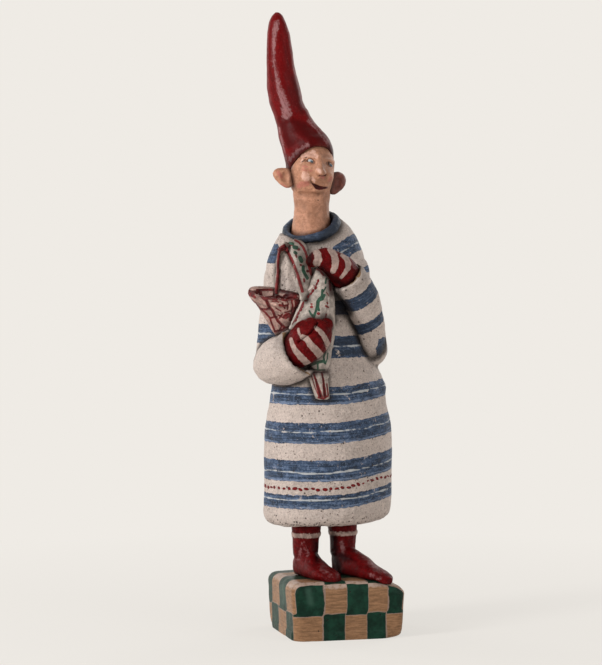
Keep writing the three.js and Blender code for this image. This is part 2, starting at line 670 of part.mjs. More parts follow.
// An ear stands out to its side, leans back and is hollowed in front. side is -1 for the figure's right.
function earSolid(side, grow = 0) {
  const shell = welded(new THREE.SphereGeometry(1, 12, 9));
  const points = shell.attributes.position;
  for (let i = 0; i < points.count; i++) {
    const up = points.getY(i);
    points.setX(i, points.getX(i) * (1 + EAR_TAPER * up) + side * EAR_FLARE * up);
  }
  shell.rotateX(Math.PI / 2);
  shell.scale(EAR.out / 2 + EAR_ROOT / 2 + grow, EAR.thick / 2 + grow, EAR.high / 2 + grow);
  const cup = welded(new THREE.SphereGeometry(1, 12, 6));
  cup.scale(EAR.out / 3.1, EAR.thick / 2, EAR.high / 3.1);
  cup.translate(side * EAR.cup * 0.4, EAR.cup + 0.6 - EAR.thick, 0);
  const earPlace = new THREE.Matrix4()
    .makeTranslation(side * (SKULL.wide + EAR.out / 2 - EAR_ROOT / 2), EAR.back, EAR.level)
    .multiply(new THREE.Matrix4().makeRotationZ(radians(side * EAR_SWEEP)))
    .multiply(new THREE.Matrix4().makeRotationY(radians(side * EAR_FAN)));
  const place = headPlace.clone().multiply(earPlace);
  const body = solid(shell.applyMatrix4(place));
  return grow ? body : cut(body, solid(cup.applyMatrix4(place)));
}

// The hat's rim arches over the brow and drops at the nape; the shift fades out over the first rings.
function hatSolid(grow = 0) {
  const forward = radians(HEAD_TURN - 90);
  const rimShift = (angle) => {
    const facing = Math.cos(angle - forward);
    return facing > 0 ? HAT_RISE * facing ** 1.1 : -HAT_NAPE * facing ** 2;
  };
  const rings = HAT_SECTIONS.map(({ at, x, y, wide, deep }, i) => {
    const share = Math.max(0, 1 - i * 0.27) ** 1.5;
    const level = skullLevel + HAT_RIM_LEVEL + HAT_HEIGHT * at - (i === 0 ? Math.abs(grow) : 0);
    const size = { wide: Math.max(wide + grow, 0.2), deep: Math.max(deep + grow, 0.2) };
    const ring = ovalRing({ x: SKULL.x + x, y: SKULL.y + y, level, ...size, turn: HEAD_TURN }, 26);
    ring.forEach((p, k) => {
      p.z += share * rimShift((2 * Math.PI * k) / 26 + radians(HEAD_TURN));
    });
    return ring;
  });
  return loft(rings);
}

// The hat's hollow: the skull's place, no nearer to the outside than the wall.
const hatHollow = (grow = 0) => skullSocket(grow).intersect(hatSolid(grow - HAT_WALL));

// The held ornaments

function coneSolid(grow = 0) {
  const steps = 10;
  const sections = CONE_SECTIONS.map((s) => ({ ...s, level: CONE_FOOT_LEVEL + CONE_LENGTH * s.at }));
  const levels = evenLevels(CONE_FOOT_LEVEL, CONE_FOOT_LEVEL + CONE_LENGTH, steps);
  const seam = (angle) => CONE_SEAM * Math.max(0, Math.cos(angle - radians(CONE_SEAM_AT))) ** 12;
  const rings = sectionsBetween(sections, levels).map((s, i) => {
    const end = i === 0 ? -grow : i === steps ? grow : 0;
    return ovalRing({ ...s, level: s.level + end, wide: s.wide + grow, deep: s.deep + grow }, 28, seam);
  });
  return loft(rings);
}

function tipSolid(grow = 0) {
  const top = CONE_SECTIONS[0];
  const pleat = (angle) => TIP_PLEAT_DEPTH * Math.cos(TIP_PLEATS * angle);
  const bandFrom = 1 - BAND_HEIGHT / TIP_LENGTH;
  const steps = [0, 0.05, 0.3, 0.6, bandFrom - 0.02, bandFrom, 1];
  const rings = steps.map((t) => {
    const s = {
      x: THREE.MathUtils.lerp(TIP_FOOT.x, top.x, t),
      y: top.y,
      level: CONE_FOOT_LEVEL - SEAT_GAP - TIP_LENGTH * (1 - t),
      wide: THREE.MathUtils.lerp(TIP_FOOT.wide, top.wide, t),
      deep: THREE.MathUtils.lerp(TIP_FOOT.deep, top.deep, t),
    };
    const proud = t >= bandFrom ? BAND_PROUD : t === 0 ? -TIP_ROUND : 0;
    const end = t === 0 ? -grow : t === 1 ? grow : 0;
    s.level += end;
    return ovalRing({ ...s, wide: s.wide + proud + grow, deep: s.deep + proud + grow }, 36, pleat);
  });
  return loft(rings);
}

function basketSolid(grow = 0) {
  const steps = 4;
  const tip = Math.tan(radians(BASKET_TIP));
  const lean = Math.tan(radians(BASKET_LEAN));
  const ringAt = (t, inset) => {
    const s = {
      x: THREE.MathUtils.lerp(BASKET_FOOT.x, BASKET_MOUTH.x, t),
      y: THREE.MathUtils.lerp(BASKET_FOOT.y, BASKET_MOUTH.y, t),
      level: BASKET_FOOT.level + BASKET_HEIGHT * t,
      wide: THREE.MathUtils.lerp(BASKET_FOOT.wide, BASKET_MOUTH.wide, Math.max(0, t) ** 0.9) - inset,
      deep: THREE.MathUtils.lerp(BASKET_FOOT.deep, BASKET_MOUTH.deep, Math.max(0, t) ** 0.9) - inset,
      turn: BASKET_TURN,
    };
    const ring = ovalRing(s, 28);
    ring.forEach((p) => {
      p.z += t * ((p.y - s.y) * tip - (p.x - s.x) * lean);
    });
    return ring;
  };
  const length = BASKET_HEIGHT;
  const rimFrom = 1 - BASKET_RIM_HEIGHT / length;
  const rings = [];
  for (let i = 0; i <= steps; i++) {
    rings.push(ringAt((rimFrom * i) / steps - (i === 0 ? grow / length : 0), -grow));
  }
  rings.push(ringAt(rimFrom + 0.02, -BASKET_RIM_PROUD - grow));
  rings.push(ringAt(1 + grow / length, -BASKET_RIM_PROUD - grow));
  const outside = loft(rings);
  if (grow) return outside;
  const hollowFrom = 1 - BASKET_HOLLOW / length;
  const inside = [0, 0.5, 1].map((t) => ringAt(hollowFrom + t * (1.1 - hollowFrom), BASKET_WALL));
  return cut(outside, loft(inside));
}

// The strap handle: a tall round-topped arch, deep as the strap is wide, closed by a panel at its back.
function handleSolid(grow = 0) {
  const arch = (inset) => {
    const shape = new THREE.Shape();
    const foot = HANDLE_FOOT_HALF - inset;
    const top = HANDLE_TOP_HALF - inset * 0.6;
    const height = HANDLE_HEIGHT - inset;
    const sink = inset > 0 ? -1 : 0;
    shape.moveTo(-foot, sink);
    shape.lineTo(foot, sink);
    shape.bezierCurveTo(foot * 0.9, height * 0.6, top * 1.1, height, 0, height);
    shape.bezierCurveTo(-top * 1.1, height, -foot * 0.9, height * 0.6, -foot, sink);
    return shape;
  };
  const extrude = (inset, from, to) => {
    const settings = { depth: to - from, bevelEnabled: false, curveSegments: 10 };
    const geometry = welded(new THREE.ExtrudeGeometry(arch(inset), settings));
    geometry.rotateX(Math.PI / 2);
    geometry.translate(0, to, 0);
    geometry.rotateX(radians(-HANDLE_LEAN));
    geometry.rotateY(radians(-HANDLE_TILT));
    geometry.rotateZ(radians(HANDLE_TURN));
    const foot = BASKET_FOOT.level + BASKET_HEIGHT - HANDLE_SINK;
    geometry.translate(BASKET_MOUTH.x + HANDLE_SHIFT.x, BASKET_MOUTH.y + HANDLE_SHIFT.y, foot);
    return solid(geometry);
  };
  const outside = extrude(-grow, -grow, HANDLE_STRAP + grow);
  if (grow) return outside;
  return cut(outside, extrude(HANDLE_THICK, -1, HANDLE_STRAP - HANDLE_THICK));
}

// Putting it together

const gap = GLUE_GAP;
const rightRod = (grow) => rodBetween(RIGHT_LEG, ROD_RADIUS, grow);
const leftRod = (grow) => rodBetween(LEFT_LEG, ROD_RADIUS, grow);
const rightBoot = (grow) => bootSolid(RIGHT_LEG, RIGHT_FOOT_TURN, RIGHT_TOE_REACH, grow);
const leftBoot = (grow) => bootSolid(LEFT_LEG, LEFT_FOOT_TURN, LEFT_TOE_REACH, grow);
const rightForearm = (grow) => forearm(rightPath, RIGHT_FOREARM, grow);
const leftForearm = (grow) => forearm(leftPath, LEFT_FOREARM, grow);
const rightPin = (grow) => wristPin(rightPath, grow);
const leftPin = (grow) => wristPin(leftPath, grow);

const rods = join(rightRod(SOCKET_GAP), leftRod(SOCKET_GAP));
const grownGown = gownSolid(gap);
const grownSleeves = join(rightForearm(gap), leftForearm(gap));
const grownOrnaments = join(basketSolid(gap), handleSolid(gap), coneSolid(gap), tipSolid(gap));

const legs = fromHem(join(rightBoot(gap), leftBoot(gap), rods));
const gown = cut(gownSolid(), necklineCut(), neckSolid(gap), legs);
const collar = cut(collarSolid(), cut(grownGown, necklineCut(gap)), neckSolid(gap));
const sleeve = (own, other, hollow, pin) => cut(own(0), grownGown, other(gap), hollow, pin(SOCKET_GAP));
const sleeveRight = sleeve(rightForearm, leftForearm, cuffHollow(rightPath, RIGHT_FOREARM), rightPin);
const sleeveLeft = sleeve(leftForearm, rightForearm, cuffHollow(leftPath, LEFT_FOREARM), leftPin);
const head = cut(headSolid(), cut(hatSolid(gap), hatHollow(-gap)));
const ears = [-1, 1].map((side) => cut(earSolid(side), headSolid(gap)));
const hat = cut(hatSolid(), hatHollow(), earSolid(-1, gap), earSolid(1, gap));

const basket = cut(basketSolid(), grownGown, grownSleeves, rightPin(SOCKET_GAP));
const handle = cut(handleSolid(), grownGown, grownSleeves, basketSolid(gap));
const pins = join(rightPin(SOCKET_GAP), leftPin(SOCKET_GAP));
const cone = cut(coneSolid(), grownGown, grownSleeves, basketSolid(gap), handleSolid(gap), pins);
const tip = cut(tipSolid(), grownGown, grownSleeves);
const sleeveShells = [
  cut(rightForearm(gap), cuffHollow(rightPath, RIGHT_FOREARM, -gap)),
  cut(leftForearm(gap), cuffHollow(leftPath, LEFT_FOREARM, -gap)),
];
const mitten = (body, pin) => cut(body, grownGown, ...sleeveShells, grownOrnaments, pin(SOCKET_GAP));
const mittenRight = mitten(rightMittenSolid(), rightPin);
const mittenLeft = mitten(leftMittenSolid(), leftPin);

const group = new THREE.Group();
const figure = new THREE.Group();
figure.position.z = FIGURE_BASE;
figure.rotation.z = radians(FIGURE_TURN);
group.add(figure);
const upper = new THREE.Group();
upper.position.z = LEG_HEIGHT;
figure.add(upper);

function place(parent, name, body, color, roughness, metalness = 0) {
  const material = new THREE.MeshStandardMaterial({ color, roughness, metalness });
  const mesh = new THREE.Mesh(geometryOf(body), material);
  mesh.name = name;
  parent.add(mesh);
}

place(group, "felt_base", feltSolid(), "#2f4a38", 0.95);
place(group, "plinth", cut(plinthSolid(), intoRow(rods)), "#b8946a", 0.45);
place(figure, "leg_rod_right", rightRod(0), "#8d8f92", 0.35, 1);
place(figure, "leg_rod_left", leftRod(0), "#8d8f92", 0.35, 1);
place(figure, "boot_right", cut(rightBoot(0), underfoot(), rods, leftBoot(gap)), "#b3241d", 0.4);
place(figure, "boot_left", cut(leftBoot(0), underfoot(), rods), "#b3241d", 0.4);
place(upper, "gown", gown, "#d8cfc2", 0.6);
place(upper, "collar", collar, "#3d5c8f", 0.55);
place(upper, "sleeve_right", sleeveRight, "#d8cfc2", 0.6);
place(upper, "sleeve_left", sleeveLeft, "#d8cfc2", 0.6);
place(upper, "wrist_pin_right", rightPin(0), "#8d8f92", 0.35, 1);
place(upper, "wrist_pin_left", leftPin(0), "#8d8f92", 0.35, 1);
place(upper, "mitten_right", mittenRight, "#b9302c", 0.5);
place(upper, "mitten_left", mittenLeft, "#b9302c", 0.5);
place(upper, "head", head, "#e2b79c", 0.45);
place(upper, "ear_right", ears[0], "#dd9f86", 0.45);
place(upper, "ear_left", ears[1], "#dd9f86", 0.45);
place(upper, "hat", hat, "#8e1b1a", 0.3);
place(upper, "woven_basket", basket, "#d8b8b2", 0.5);
place(upper, "basket_handle", handle, "#e6e0d6", 0.5);
place(upper, "paper_cone", cone, "#e4dfd6", 0.5);
place(upper, "cone_tip", tip, "#dfd8ce", 0.5);

export default group;
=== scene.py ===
"""A painted elf figure on a chequered block: its looks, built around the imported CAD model."""
import math

import bmesh
import bpy
import numpy as np
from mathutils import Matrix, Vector
from mathutils.bvhtree import BVHTree


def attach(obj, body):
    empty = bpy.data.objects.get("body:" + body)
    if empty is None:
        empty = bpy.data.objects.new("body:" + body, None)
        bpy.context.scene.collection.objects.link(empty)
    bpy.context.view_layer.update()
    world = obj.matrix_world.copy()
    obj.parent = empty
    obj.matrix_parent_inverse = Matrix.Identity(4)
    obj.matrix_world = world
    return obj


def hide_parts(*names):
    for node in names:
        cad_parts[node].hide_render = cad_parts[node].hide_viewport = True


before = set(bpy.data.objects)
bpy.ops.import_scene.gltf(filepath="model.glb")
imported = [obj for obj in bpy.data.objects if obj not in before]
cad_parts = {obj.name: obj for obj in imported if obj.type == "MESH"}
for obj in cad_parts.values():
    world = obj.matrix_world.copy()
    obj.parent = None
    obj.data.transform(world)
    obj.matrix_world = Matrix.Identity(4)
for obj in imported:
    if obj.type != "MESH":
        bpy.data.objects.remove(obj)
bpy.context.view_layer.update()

bl_info = {
    "name": "Painted Elf Figure",
    "version": (1, 0, 0),
    "blender": (4, 5, 0),
    "location": "View3D > Sidebar > Elf",
    "description": "Dresses the cast elf figure in its carved forms and hand paint",
    "category": "Object",
}

MM = 0.001
BODY = "root"
OUTSIDE = -99.0         # mm inside a stroke, where none comes near
KEPT = 3.0              # mm on either side of a painted edge that the paint has to know
BARE = -6.0             # noted where a paint is nowhere near
WELD = 1e-6             # m between corners that are one
PASS_SPREAD = 0.495     # how far one smoothing pass spreads, in voxels
WASH_AND_SHADE_REACH = 4.0        # mm from a neighbouring piece over which the dark wash and painted shade fade
HOLLOW_PASSES = 4       # times that the noted hollows are smoothed
CORE = 0.2              # share of a pull's or a bulge's radius that moves fully
LEFT_OUT = 0.57         # share of the casting pits' places that stay closed
TINY = 1e-9             # stands for the length of a stroke's step that has none

# Random heights: a start that keeps the cells above 0, a step between seeds, and what scrambles a cell

LUMP_ORIGIN, SEED_STEP = 512, 7.31
HASH = np.array([73856093, 19349663, 83492791])
HASH_MIX, HASH_MASK = 1274126177, 0x7FFFFFFF


# Frames: the camera's frame has x to its right and y away from it; the row frame is turned from it

TURN = math.radians(15)
BLOCK_TOP = 32.9
EYE_HEIGHT = 236.9
EYE_DISTANCE = 1400.0
VIEW_MM = 0.575
AXIS_X = 335.5
HORIZON_Y = 221.0


def from_row(points):
    """Points in mm in the row frame, as x right, y away and z up before the camera."""
    x, y = points[:, 0], points[:, 1]
    c, s = math.cos(TURN), math.sin(TURN)
    return np.stack([x * c - y * s, x * s + y * c, points[:, 2]], axis=1)


def to_row(x, y, z):
    """The row frame's place in mm of a point given before the camera."""
    c, s = math.cos(TURN), math.sin(TURN)
    return Vector((x * c + y * s, -x * s + y * c, z))


def seen(line):
    """A line of the view, x and y by turns, as spots in mm in the upright plane through the figure's axis."""
    return (np.reshape(line, (-1, 2)) - (AXIS_X, HORIZON_Y)) * (VIEW_MM, -VIEW_MM) + (0, EYE_HEIGHT)


def moved(line, right, down):
    """A line of the view, moved by so many pixels."""
    return (np.reshape(line, (-1, 2)) + (right, down)).ravel()


def as_seen(points):
    """Each point's place in the upright plane through the axis, as the camera sees it, in mm."""
    p = from_row(points)
    near = EYE_DISTANCE / (EYE_DISTANCE + p[:, 1])
    return np.stack([p[:, 0] * near, EYE_HEIGHT - (EYE_HEIGHT - p[:, 2]) * near], axis=1)


# Mesh tools

def coordinates(mesh):
    values = np.empty(len(mesh.vertices) * 3)
    mesh.vertices.foreach_get("co", values)
    return values.reshape(-1, 3) / MM


def move_to(mesh, points):
    mesh.vertices.foreach_set("co", (points * MM).ravel())
    mesh.update()


def normals(mesh):
    values = np.empty(len(mesh.vertices) * 3)
    mesh.vertex_normals.foreach_get("vector", values)
    return values.reshape(-1, 3)


def neighbour_mean(mesh, values):
    """Each vertex's mean of the values at the vertices next to it."""
    edges = np.empty(len(mesh.edges) * 2, dtype=np.int64)
    mesh.edges.foreach_get("vertices", edges)
    a, b = edges[0::2], edges[1::2]
    ends, others = np.concatenate([a, b]), np.concatenate([b, a])
    count = np.maximum(np.bincount(ends, minlength=len(values)), 1)
    flat = values.reshape(len(values), -1)
    sums = [np.bincount(ends, weights=column[others], minlength=len(values)) for column in flat.T]
    return (np.stack(sums, axis=1) / count[:, None]).reshape(values.shape)


def lumps(points, size, seed=0):
    """Smooth random heights from -1 to 1, with a lump about every size mm."""
    place = points / size + LUMP_ORIGIN + seed * SEED_STEP
    cell = np.floor(place).astype(np.int64)
    t = place - cell
    t = t * t * (3 - 2 * t)
    total = np.zeros(len(points))
    for corner in range(8):
        step = np.array([corner & 1, corner >> 1 & 1, corner >> 2 & 1])
        keys = ((cell + step) * HASH).sum(axis=1) & HASH_MASK
        keys = (keys ^ keys >> 13) * HASH_MIX & HASH_MASK
        height = ((keys ^ keys >> 16) & 0xFFFF) / 32767.5 - 1
        total += height * np.prod(np.where(step, t, 1 - t), axis=1)
    return total


def ramp(values, low, high):
    """0 below low and 1 above high, with a smooth step between them."""
    t = np.clip((values - low) / (high - low), 0, 1)
    return t * t * (3 - 2 * t)


def baked(obj):
    """Makes the object's modifiers into its plain mesh."""
    graph = bpy.context.evaluated_depsgraph_get()
    mesh = bpy.data.meshes.new_from_object(obj.evaluated_get(graph))
    old = obj.data
    obj.modifiers.clear()
    obj.data = mesh
    if old.users == 0:
        bpy.data.meshes.remove(old)
    return obj


def carving(name, node, voxel, blur, swell=0.15):
    """A fine closed copy of a CAD solid, with its facets worn away as a modeller's tool would."""
    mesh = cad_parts[node].data.copy()
    build = bmesh.new()
    build.from_mesh(mesh)
    bmesh.ops.remove_doubles(build, verts=build.verts, dist=WELD)
    build.to_mesh(mesh)
    build.free()
    mesh.materials.clear()
    obj = bpy.data.objects.new(name, mesh)
    bpy.context.scene.collection.objects.link(obj)
    remesh = obj.modifiers.new("Fine mesh", "REMESH")
    remesh.mode = "VOXEL"
    remesh.voxel_size = voxel * MM
    smooth = obj.modifiers.new("Worn facets", "SMOOTH")
    smooth.factor = 0.5
    smooth.iterations = max(1, round((blur / (PASS_SPREAD * voxel)) ** 2))
    baked(obj)
    emboss(obj, np.full(len(obj.data.vertices), swell))
    return obj


def emboss(obj, heights):
    """Moves the surface out along its normals by heights in mm."""
    move_to(obj.data, coordinates(obj.data) + normals(obj.data) * heights[:, None])


def roughen(obj, *waves, more=0):
    """Makes the surface uneven by waves, each a height, a lump's size and a seed, and adds more heights."""
    p = coordinates(obj.data)
    emboss(obj, sum(height * lumps(p, *lump) for height, *lump in waves) + more)


def note(obj, **fields):
    """Keeps per-vertex numbers that the paint reads."""
    for name, values in fields.items():
        layer = obj.data.attributes.new(name, "FLOAT", "POINT")
        layer.data.foreach_set("value", values.astype(np.float32))


def crevices(obj, node, deep=(), less_shade=()):
    """Notes how much dark wash and painted shade lie near other pieces and along deep strokes of painted
    shadow (0 to 1), less of it along the strokes that lighten it, and how hollow the surface is (hollow, mm)."""
    verts, faces = [], []
    for name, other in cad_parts.items():
        if name == node:
            continue
        start = len(verts)
        verts.extend(v.co for v in other.data.vertices)
        faces.extend([start + i for i in p.vertices] for p in other.data.polygons)
    tree = BVHTree.FromPolygons(verts, faces)
    near = np.ones(len(obj.data.vertices))
    for i, v in enumerate(obj.data.vertices):
        gap = tree.find_nearest(v.co, WASH_AND_SHADE_REACH * MM)[3]
        if gap is not None:
            near[i] = gap / (WASH_AND_SHADE_REACH * MM)
    p, n = coordinates(obj.data), normals(obj.data)
    hollow = ((neighbour_mean(obj.data, p) - p) * n).sum(axis=1)
    for _ in range(HOLLOW_PASSES):
        hollow = neighbour_mean(obj.data, hollow)
    wash = np.maximum(1 - ramp(near, 0.08, 1.0), ramp(strokes(obj, deep), -2.5, 1.0))
    note(obj, wash=wash * (1 - 0.8 * ramp(strokes(obj, less_shade), -0.8, 1.0)), hollow=hollow)


def facing(obj):
    """1 where the surface looks at the camera, 0 where it looks away."""
    away = to_row(0, 1, 0)
    return ramp(-(normals(obj.data) @ np.array(away)), 0.02, 0.2)


def stroke(plane, half, line):
    """How many mm inside a stroke along a line of the view; half its width may be a pair, for its ends."""
    first, last = half if isinstance(half, tuple) else (half, half)
    spots = seen(line)
    best = np.full(len(plane), OUTSIDE)
    for k, (a, b) in enumerate(zip(spots[:-1], spots[1:])):
        d = b - a
        t = np.clip(((plane - a) @ d) / max(d @ d, TINY), 0, 1)
        width = first + (last - first) * ((k + t) / (len(spots) - 1))
        best = np.maximum(best, width - np.linalg.norm(plane - a - t[:, None] * d, axis=1))
    return best


def strokes(obj, rows, reach=KEPT):
    """How deep each vertex lies in rows of strokes on the side that faces the camera, kept up to reach mm."""
    plane = as_seen(coordinates(obj.data))
    best = np.full(len(plane), OUTSIDE)
    for half, *line in rows:
        best = np.maximum(best, stroke(plane, half, line))
    return np.where(facing(obj) > 0.3, best, OUTSIDE).clip(-reach, reach)


def note_strokes(obj, reach=KEPT, **tables):
    """Keeps what each table of strokes paints."""
    note(obj, **{name: strokes(obj, rows, reach) for name, rows in tables.items()})


def press(obj, rows):
    """Raises the surface along lines of the view, or sinks it.

    A row is half the line's width, the height and the softness of its edge in mm, then the line."""
    for half, height, soft, *line in rows:
        inside = stroke(as_seen(coordinates(obj.data)), half, line)
        emboss(obj, np.where(facing(obj) > 0, height * ramp(inside, -soft, half), 0))


def bulge(obj, spots):
    """Swells the surface round spots given as x, y, z, radius and height in mm before the camera."""
    p = from_row(coordinates(obj.data))
    total = np.zeros(len(p))
    for x, y, z, radius, height in spots:
        gap = np.linalg.norm(p - np.array((x, y, z)), axis=1)
        total += height * (1 - ramp(gap, CORE * radius, radius))
    emboss(obj, total)


def pull(obj, spots):
    """Drags the piece about the view, by spots: each is its place, then its radius, right and up in mm."""
    p = coordinates(obj.data)
    plane = as_seen(p)
    for x, y, radius, right, up in spots:
        gap = np.linalg.norm(plane - seen((x, y)), axis=1)
        p = p + (1 - ramp(gap, CORE * radius, radius))[:, None] * np.array(to_row(right, 0, up))
    move_to(obj.data, p)


def hits(obj, rays):
    """Where rays, each from one place towards another in mm, first meet the piece."""
    tree = BVHTree.FromObject(obj, bpy.context.evaluated_depsgraph_get())
    found = [tree.ray_cast(start * MM, (end * MM - start * MM).normalized())[0] for start, end in rays]
    return [place for place in found if place is not None]


def paint_piece(obj, node, material, deep=(), less_shade=()):
    """Finishes a piece with dark wash and painted shade in its hollows, more along deep strokes of painted
    shadow and less along the strokes that lighten it.
    """
    crevices(obj, node, deep, less_shade)
    finish_piece(obj, node, material)


def finish_piece(obj, node, material):
    """Gives a piece its paint and ties it to the CAD."""
    obj.data.materials.clear()
    obj.data.materials.append(material)
    obj.data.shade_smooth()
    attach(obj, BODY)
    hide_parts(node)


# Paint tools

def linear(colour):
    """A linear colour from an sRGB hex value."""
    levels = [int(colour[i:i + 2], 16) / 255 for i in (0, 2, 4)]
    return tuple(c / 12.92 if c <= 0.04045 else ((c + 0.055) / 1.055) ** 2.4 for c in levels)


def add(tree, kind, inputs=(), out=0, **settings):
    """Adds a node with its settings and inputs, by name or in order, each a value, a hex colour or a socket.

    A MapRange's inputs are its value and the ends of the range it comes from and of the one it goes to."""
    new = tree.nodes.new(kind if "Node" in kind else "ShaderNode" + kind)
    for key, value in settings.items():
        setattr(new, key, value)
    for key, value in inputs.items() if isinstance(inputs, dict) else enumerate(inputs):
        if isinstance(value, bpy.types.NodeSocket):
            tree.links.new(value, new.inputs[key])
        else:
            new.inputs[key].default_value = linear(value) + (1,) if isinstance(value, str) else value
    return new.outputs[out] if len(new.outputs) else new


def blank(name):
    material = bpy.data.materials.new(name)
    material.use_nodes = True
    material.node_tree.nodes.clear()
    return material, material.node_tree


def tone(name, gain=1.0, pale=0.0):
    """A paint from the settings: gain darkens or lightens it, and pale stirs white into it."""
    paint = getattr(bpy.context.scene.elf_colours, name)
    return tuple(min(c * gain, 1) * (1 - pale) + pale for c in paint) + (1,)


def tones(name, *mixes):
    """Several tones of one paint, each from a gain or from a gain and a share of white."""
    return [tone(name, *(mix if isinstance(mix, tuple) else (mix,))) for mix in mixes]


def grain(tree, size, detail, rough=0.5, stretch=(1, 1, 1)):
    """A noise from 0 to 1 whose features are size mm across, drawn out by stretch."""
    where = add(tree, "TexCoord", out="Object")
    where = add(tree, "Mapping", {"Vector": where, "Scale": tuple(1 / (MM * size * s) for s in stretch)})
    return add(tree, "TexNoise", {"Vector": where, "Scale": 1.0, "Detail": detail, "Roughness": rough})


def coat(tree, under, colour, mask, low=0, high=1, cover=1):
    """Paint over paint: none of it where the mask is at low, and cover of it where the mask is at high."""
    share = add(tree, "MapRange", (mask, low, high, 0, cover), interpolation_type="SMOOTHSTEP")
    return add(tree, "Mix", {0: share, 6: under, 7: colour}, out=2, data_type="RGBA")


def coats(tree, under, *layers):
    """Several coats, one over another, each as coat reads it."""
    for layer in layers:
        under = coat(tree, under, *layer)
    return under


def region(tree, field, wobble, soft=0.15, size=2.6):
    """1 inside a painted shape, whose edge wanders by wobble mm as a hand-held brush does."""
    inside = add(tree, "Attribute", out="Fac", attribute_name=field)
    drift = add(tree, "Math", (grain(tree, size, 4.0, 0.65), 2 * wobble, -wobble), operation="MULTIPLY_ADD")
    edge = add(tree, "Math", (inside, drift), operation="ADD")
    return add(tree, "MapRange", (edge, -soft, soft), interpolation_type="SMOOTHSTEP")


def pits(tree, spacing, size):
    """1 in casting pits size mm wide, set about spacing mm apart, with over half of them left out."""
    where = add(tree, "TexCoord", out="Object")
    where = add(tree, "Mapping", {"Vector": where, "Scale": (1 / (MM * spacing),) * 3})
    gap = add(tree, "TexVoronoi", {"Vector": where, "Scale": 1.0}, out="Distance")
    pick = add(tree, "SeparateColor", (gap.node.outputs["Color"],))
    hole = add(tree, "MapRange", (gap, size / spacing, 0.4 * size / spacing), interpolation_type="SMOOTHSTEP")
    some = add(tree, "Math", (pick, LEFT_OUT), operation="GREATER_THAN")
    return add(tree, "Math", (hole, some), operation="MULTIPLY")


def dark_wash_and_shade(tree, colour, tint, cover=0.85):
    """Darkens crevices and the surface under neighbouring pieces: partly a dark wash of paint, partly painted
    shade.
    """
    near = add(tree, "Attribute", out="Fac", attribute_name="wash")
    hollow = add(tree, "Attribute", out="Fac", attribute_name="hollow")
    lines = add(tree, "MapRange", (hollow, 0.004, 0.035, 0, 0.8), interpolation_type="SMOOTHSTEP")
    wash = add(tree, "Math", (near, lines), operation="MAXIMUM")
    patchy = add(tree, "MapRange", (grain(tree, 3.5, 4.0), 0.25, 0.6, 0.8 * cover, cover))
    wash = add(tree, "Math", (wash, patchy), operation="MULTIPLY")
    return add(tree, "Mix", {0: wash, 6: colour, 7: tint}, out=2, data_type="RGBA")


def brushed(tree, dark, mid, light, length, width, contrast):
    """A brushed coat in three tones, its streaks length mm long and width mm wide along the brush's way."""
    where = add(tree, "TexCoord", out="Object")
    where = add(tree, "Mapping", {"Vector": where, "Scale": (1 / (length * MM),) * 3})
    aside = add(tree, "Attribute", out="Fac", attribute_name="course")
    aside = add(tree, "Math", (aside, width), operation="DIVIDE")
    lift = add(tree, "CombineXYZ", {"Z": aside})
    where = add(tree, "VectorMath", (where, lift), operation="ADD")
    streak = add(tree, "TexNoise",
                 {"Vector": where, "Scale": 1.0, "Detail": 5.0, "Roughness": 0.7, "Distortion": 0.4})
    value = add(tree, "Math", (grain(tree, 5.0, 5.0, 0.75), 0.95 * contrast, 0.5 - 0.97 * contrast),
                operation="MULTIPLY_ADD")
    value = add(tree, "Math", (streak, contrast, value), operation="MULTIPLY_ADD")
    return coats(tree, dark, (mid, value, 0.36, 0.54), (light, value, 0.54, 0.74)), streak


def close(tree, colour, relief, rough, gloss=0.3, **sockets):
    """The paint's surface. Relief lists patterns with heights in mm; rough is a pattern and its span."""
    height = 0.0
    for pattern, tall in relief:
        height = add(tree, "Math", (pattern, tall, height), operation="MULTIPLY_ADD")
    bump = add(tree, "Bump", {"Height": height, "Strength": 1.0, "Distance": MM})
    rough = add(tree, "MapRange", (rough[0], 0.3, 0.7, rough[1], rough[2]))
    inputs = {"Base Color": colour, "Roughness": rough, "Normal": bump, "Specular IOR Level": gloss}
    inputs.update({key.replace("_", " "): value for key, value in sockets.items()})
    add(tree, "OutputMaterial", {"Surface": add(tree, "BsdfPrincipled", inputs)})


# Settings: what each is for, and its size in mm or its sRGB colour

SIZES = {
    "gown_lumps": ("How far the gown's hand-smoothed surface wanders", 0.45),
    "fold_depth": ("Depth of the folds pressed into the gown behind the strap", 0.4),
    "edge_wobble": ("How far the edges of the blue stripes wander", 1.2),
    "pit_width": ("Width of the air pits in the castings", 0.75),
    "dab_pitch": ("Distance between the red dabs above the hem", 3.5),
    "dab_length": ("Length of a red dab above the hem", 2.9),
    "dab_width": ("Width of a red dab above the hem", 1.7),
}
PAINTS = {
    "backdrop": ("Floor and room", "efebe5"),
    "gown_white": ("Matt off-white of the gown and sleeves", "c3b4ab"),
    "stripe_blue": ("Middle tone of the brushed stripes", "354761"),
    "line_white": ("Thin lines along the stripes", "b4b6b8"),
    "collar_blue": ("Middle tone of the collar", "3a4557"),
    "hat_red": ("Middle tone of the lacquered hat", "6a0709"),
    "boot_red": ("Middle tone of the boots", "5c080a"),
    "mitten_red": ("Middle tone of the mittens' red", "5c080a"),
    "band_white": ("Stripes of the mittens and bands of the boots", "ae968c"),
    "skin": ("Middle tone of the face, neck and ears", "b98366"),
    "blush": ("Rosy paint on the cheeks and ears", "b2655b"),
    "basket_pink": ("Ground of the woven basket", "ab8a7f"),
    "paper_white": ("Ground of the strap, cone and tip", "b5a89e"),
    "trim_red": ("Borders and berries of the ornaments", "6c1014"),
    "leaf_green": ("Leaves and garlands of the ornaments", "1c4735"),
    "check_green": ("Dark checks of the block", "153528"),
    "check_tan": ("Light checks of the block", "8d6a4e"),
}


def label(key):
    return key.replace("_", " ").capitalize()


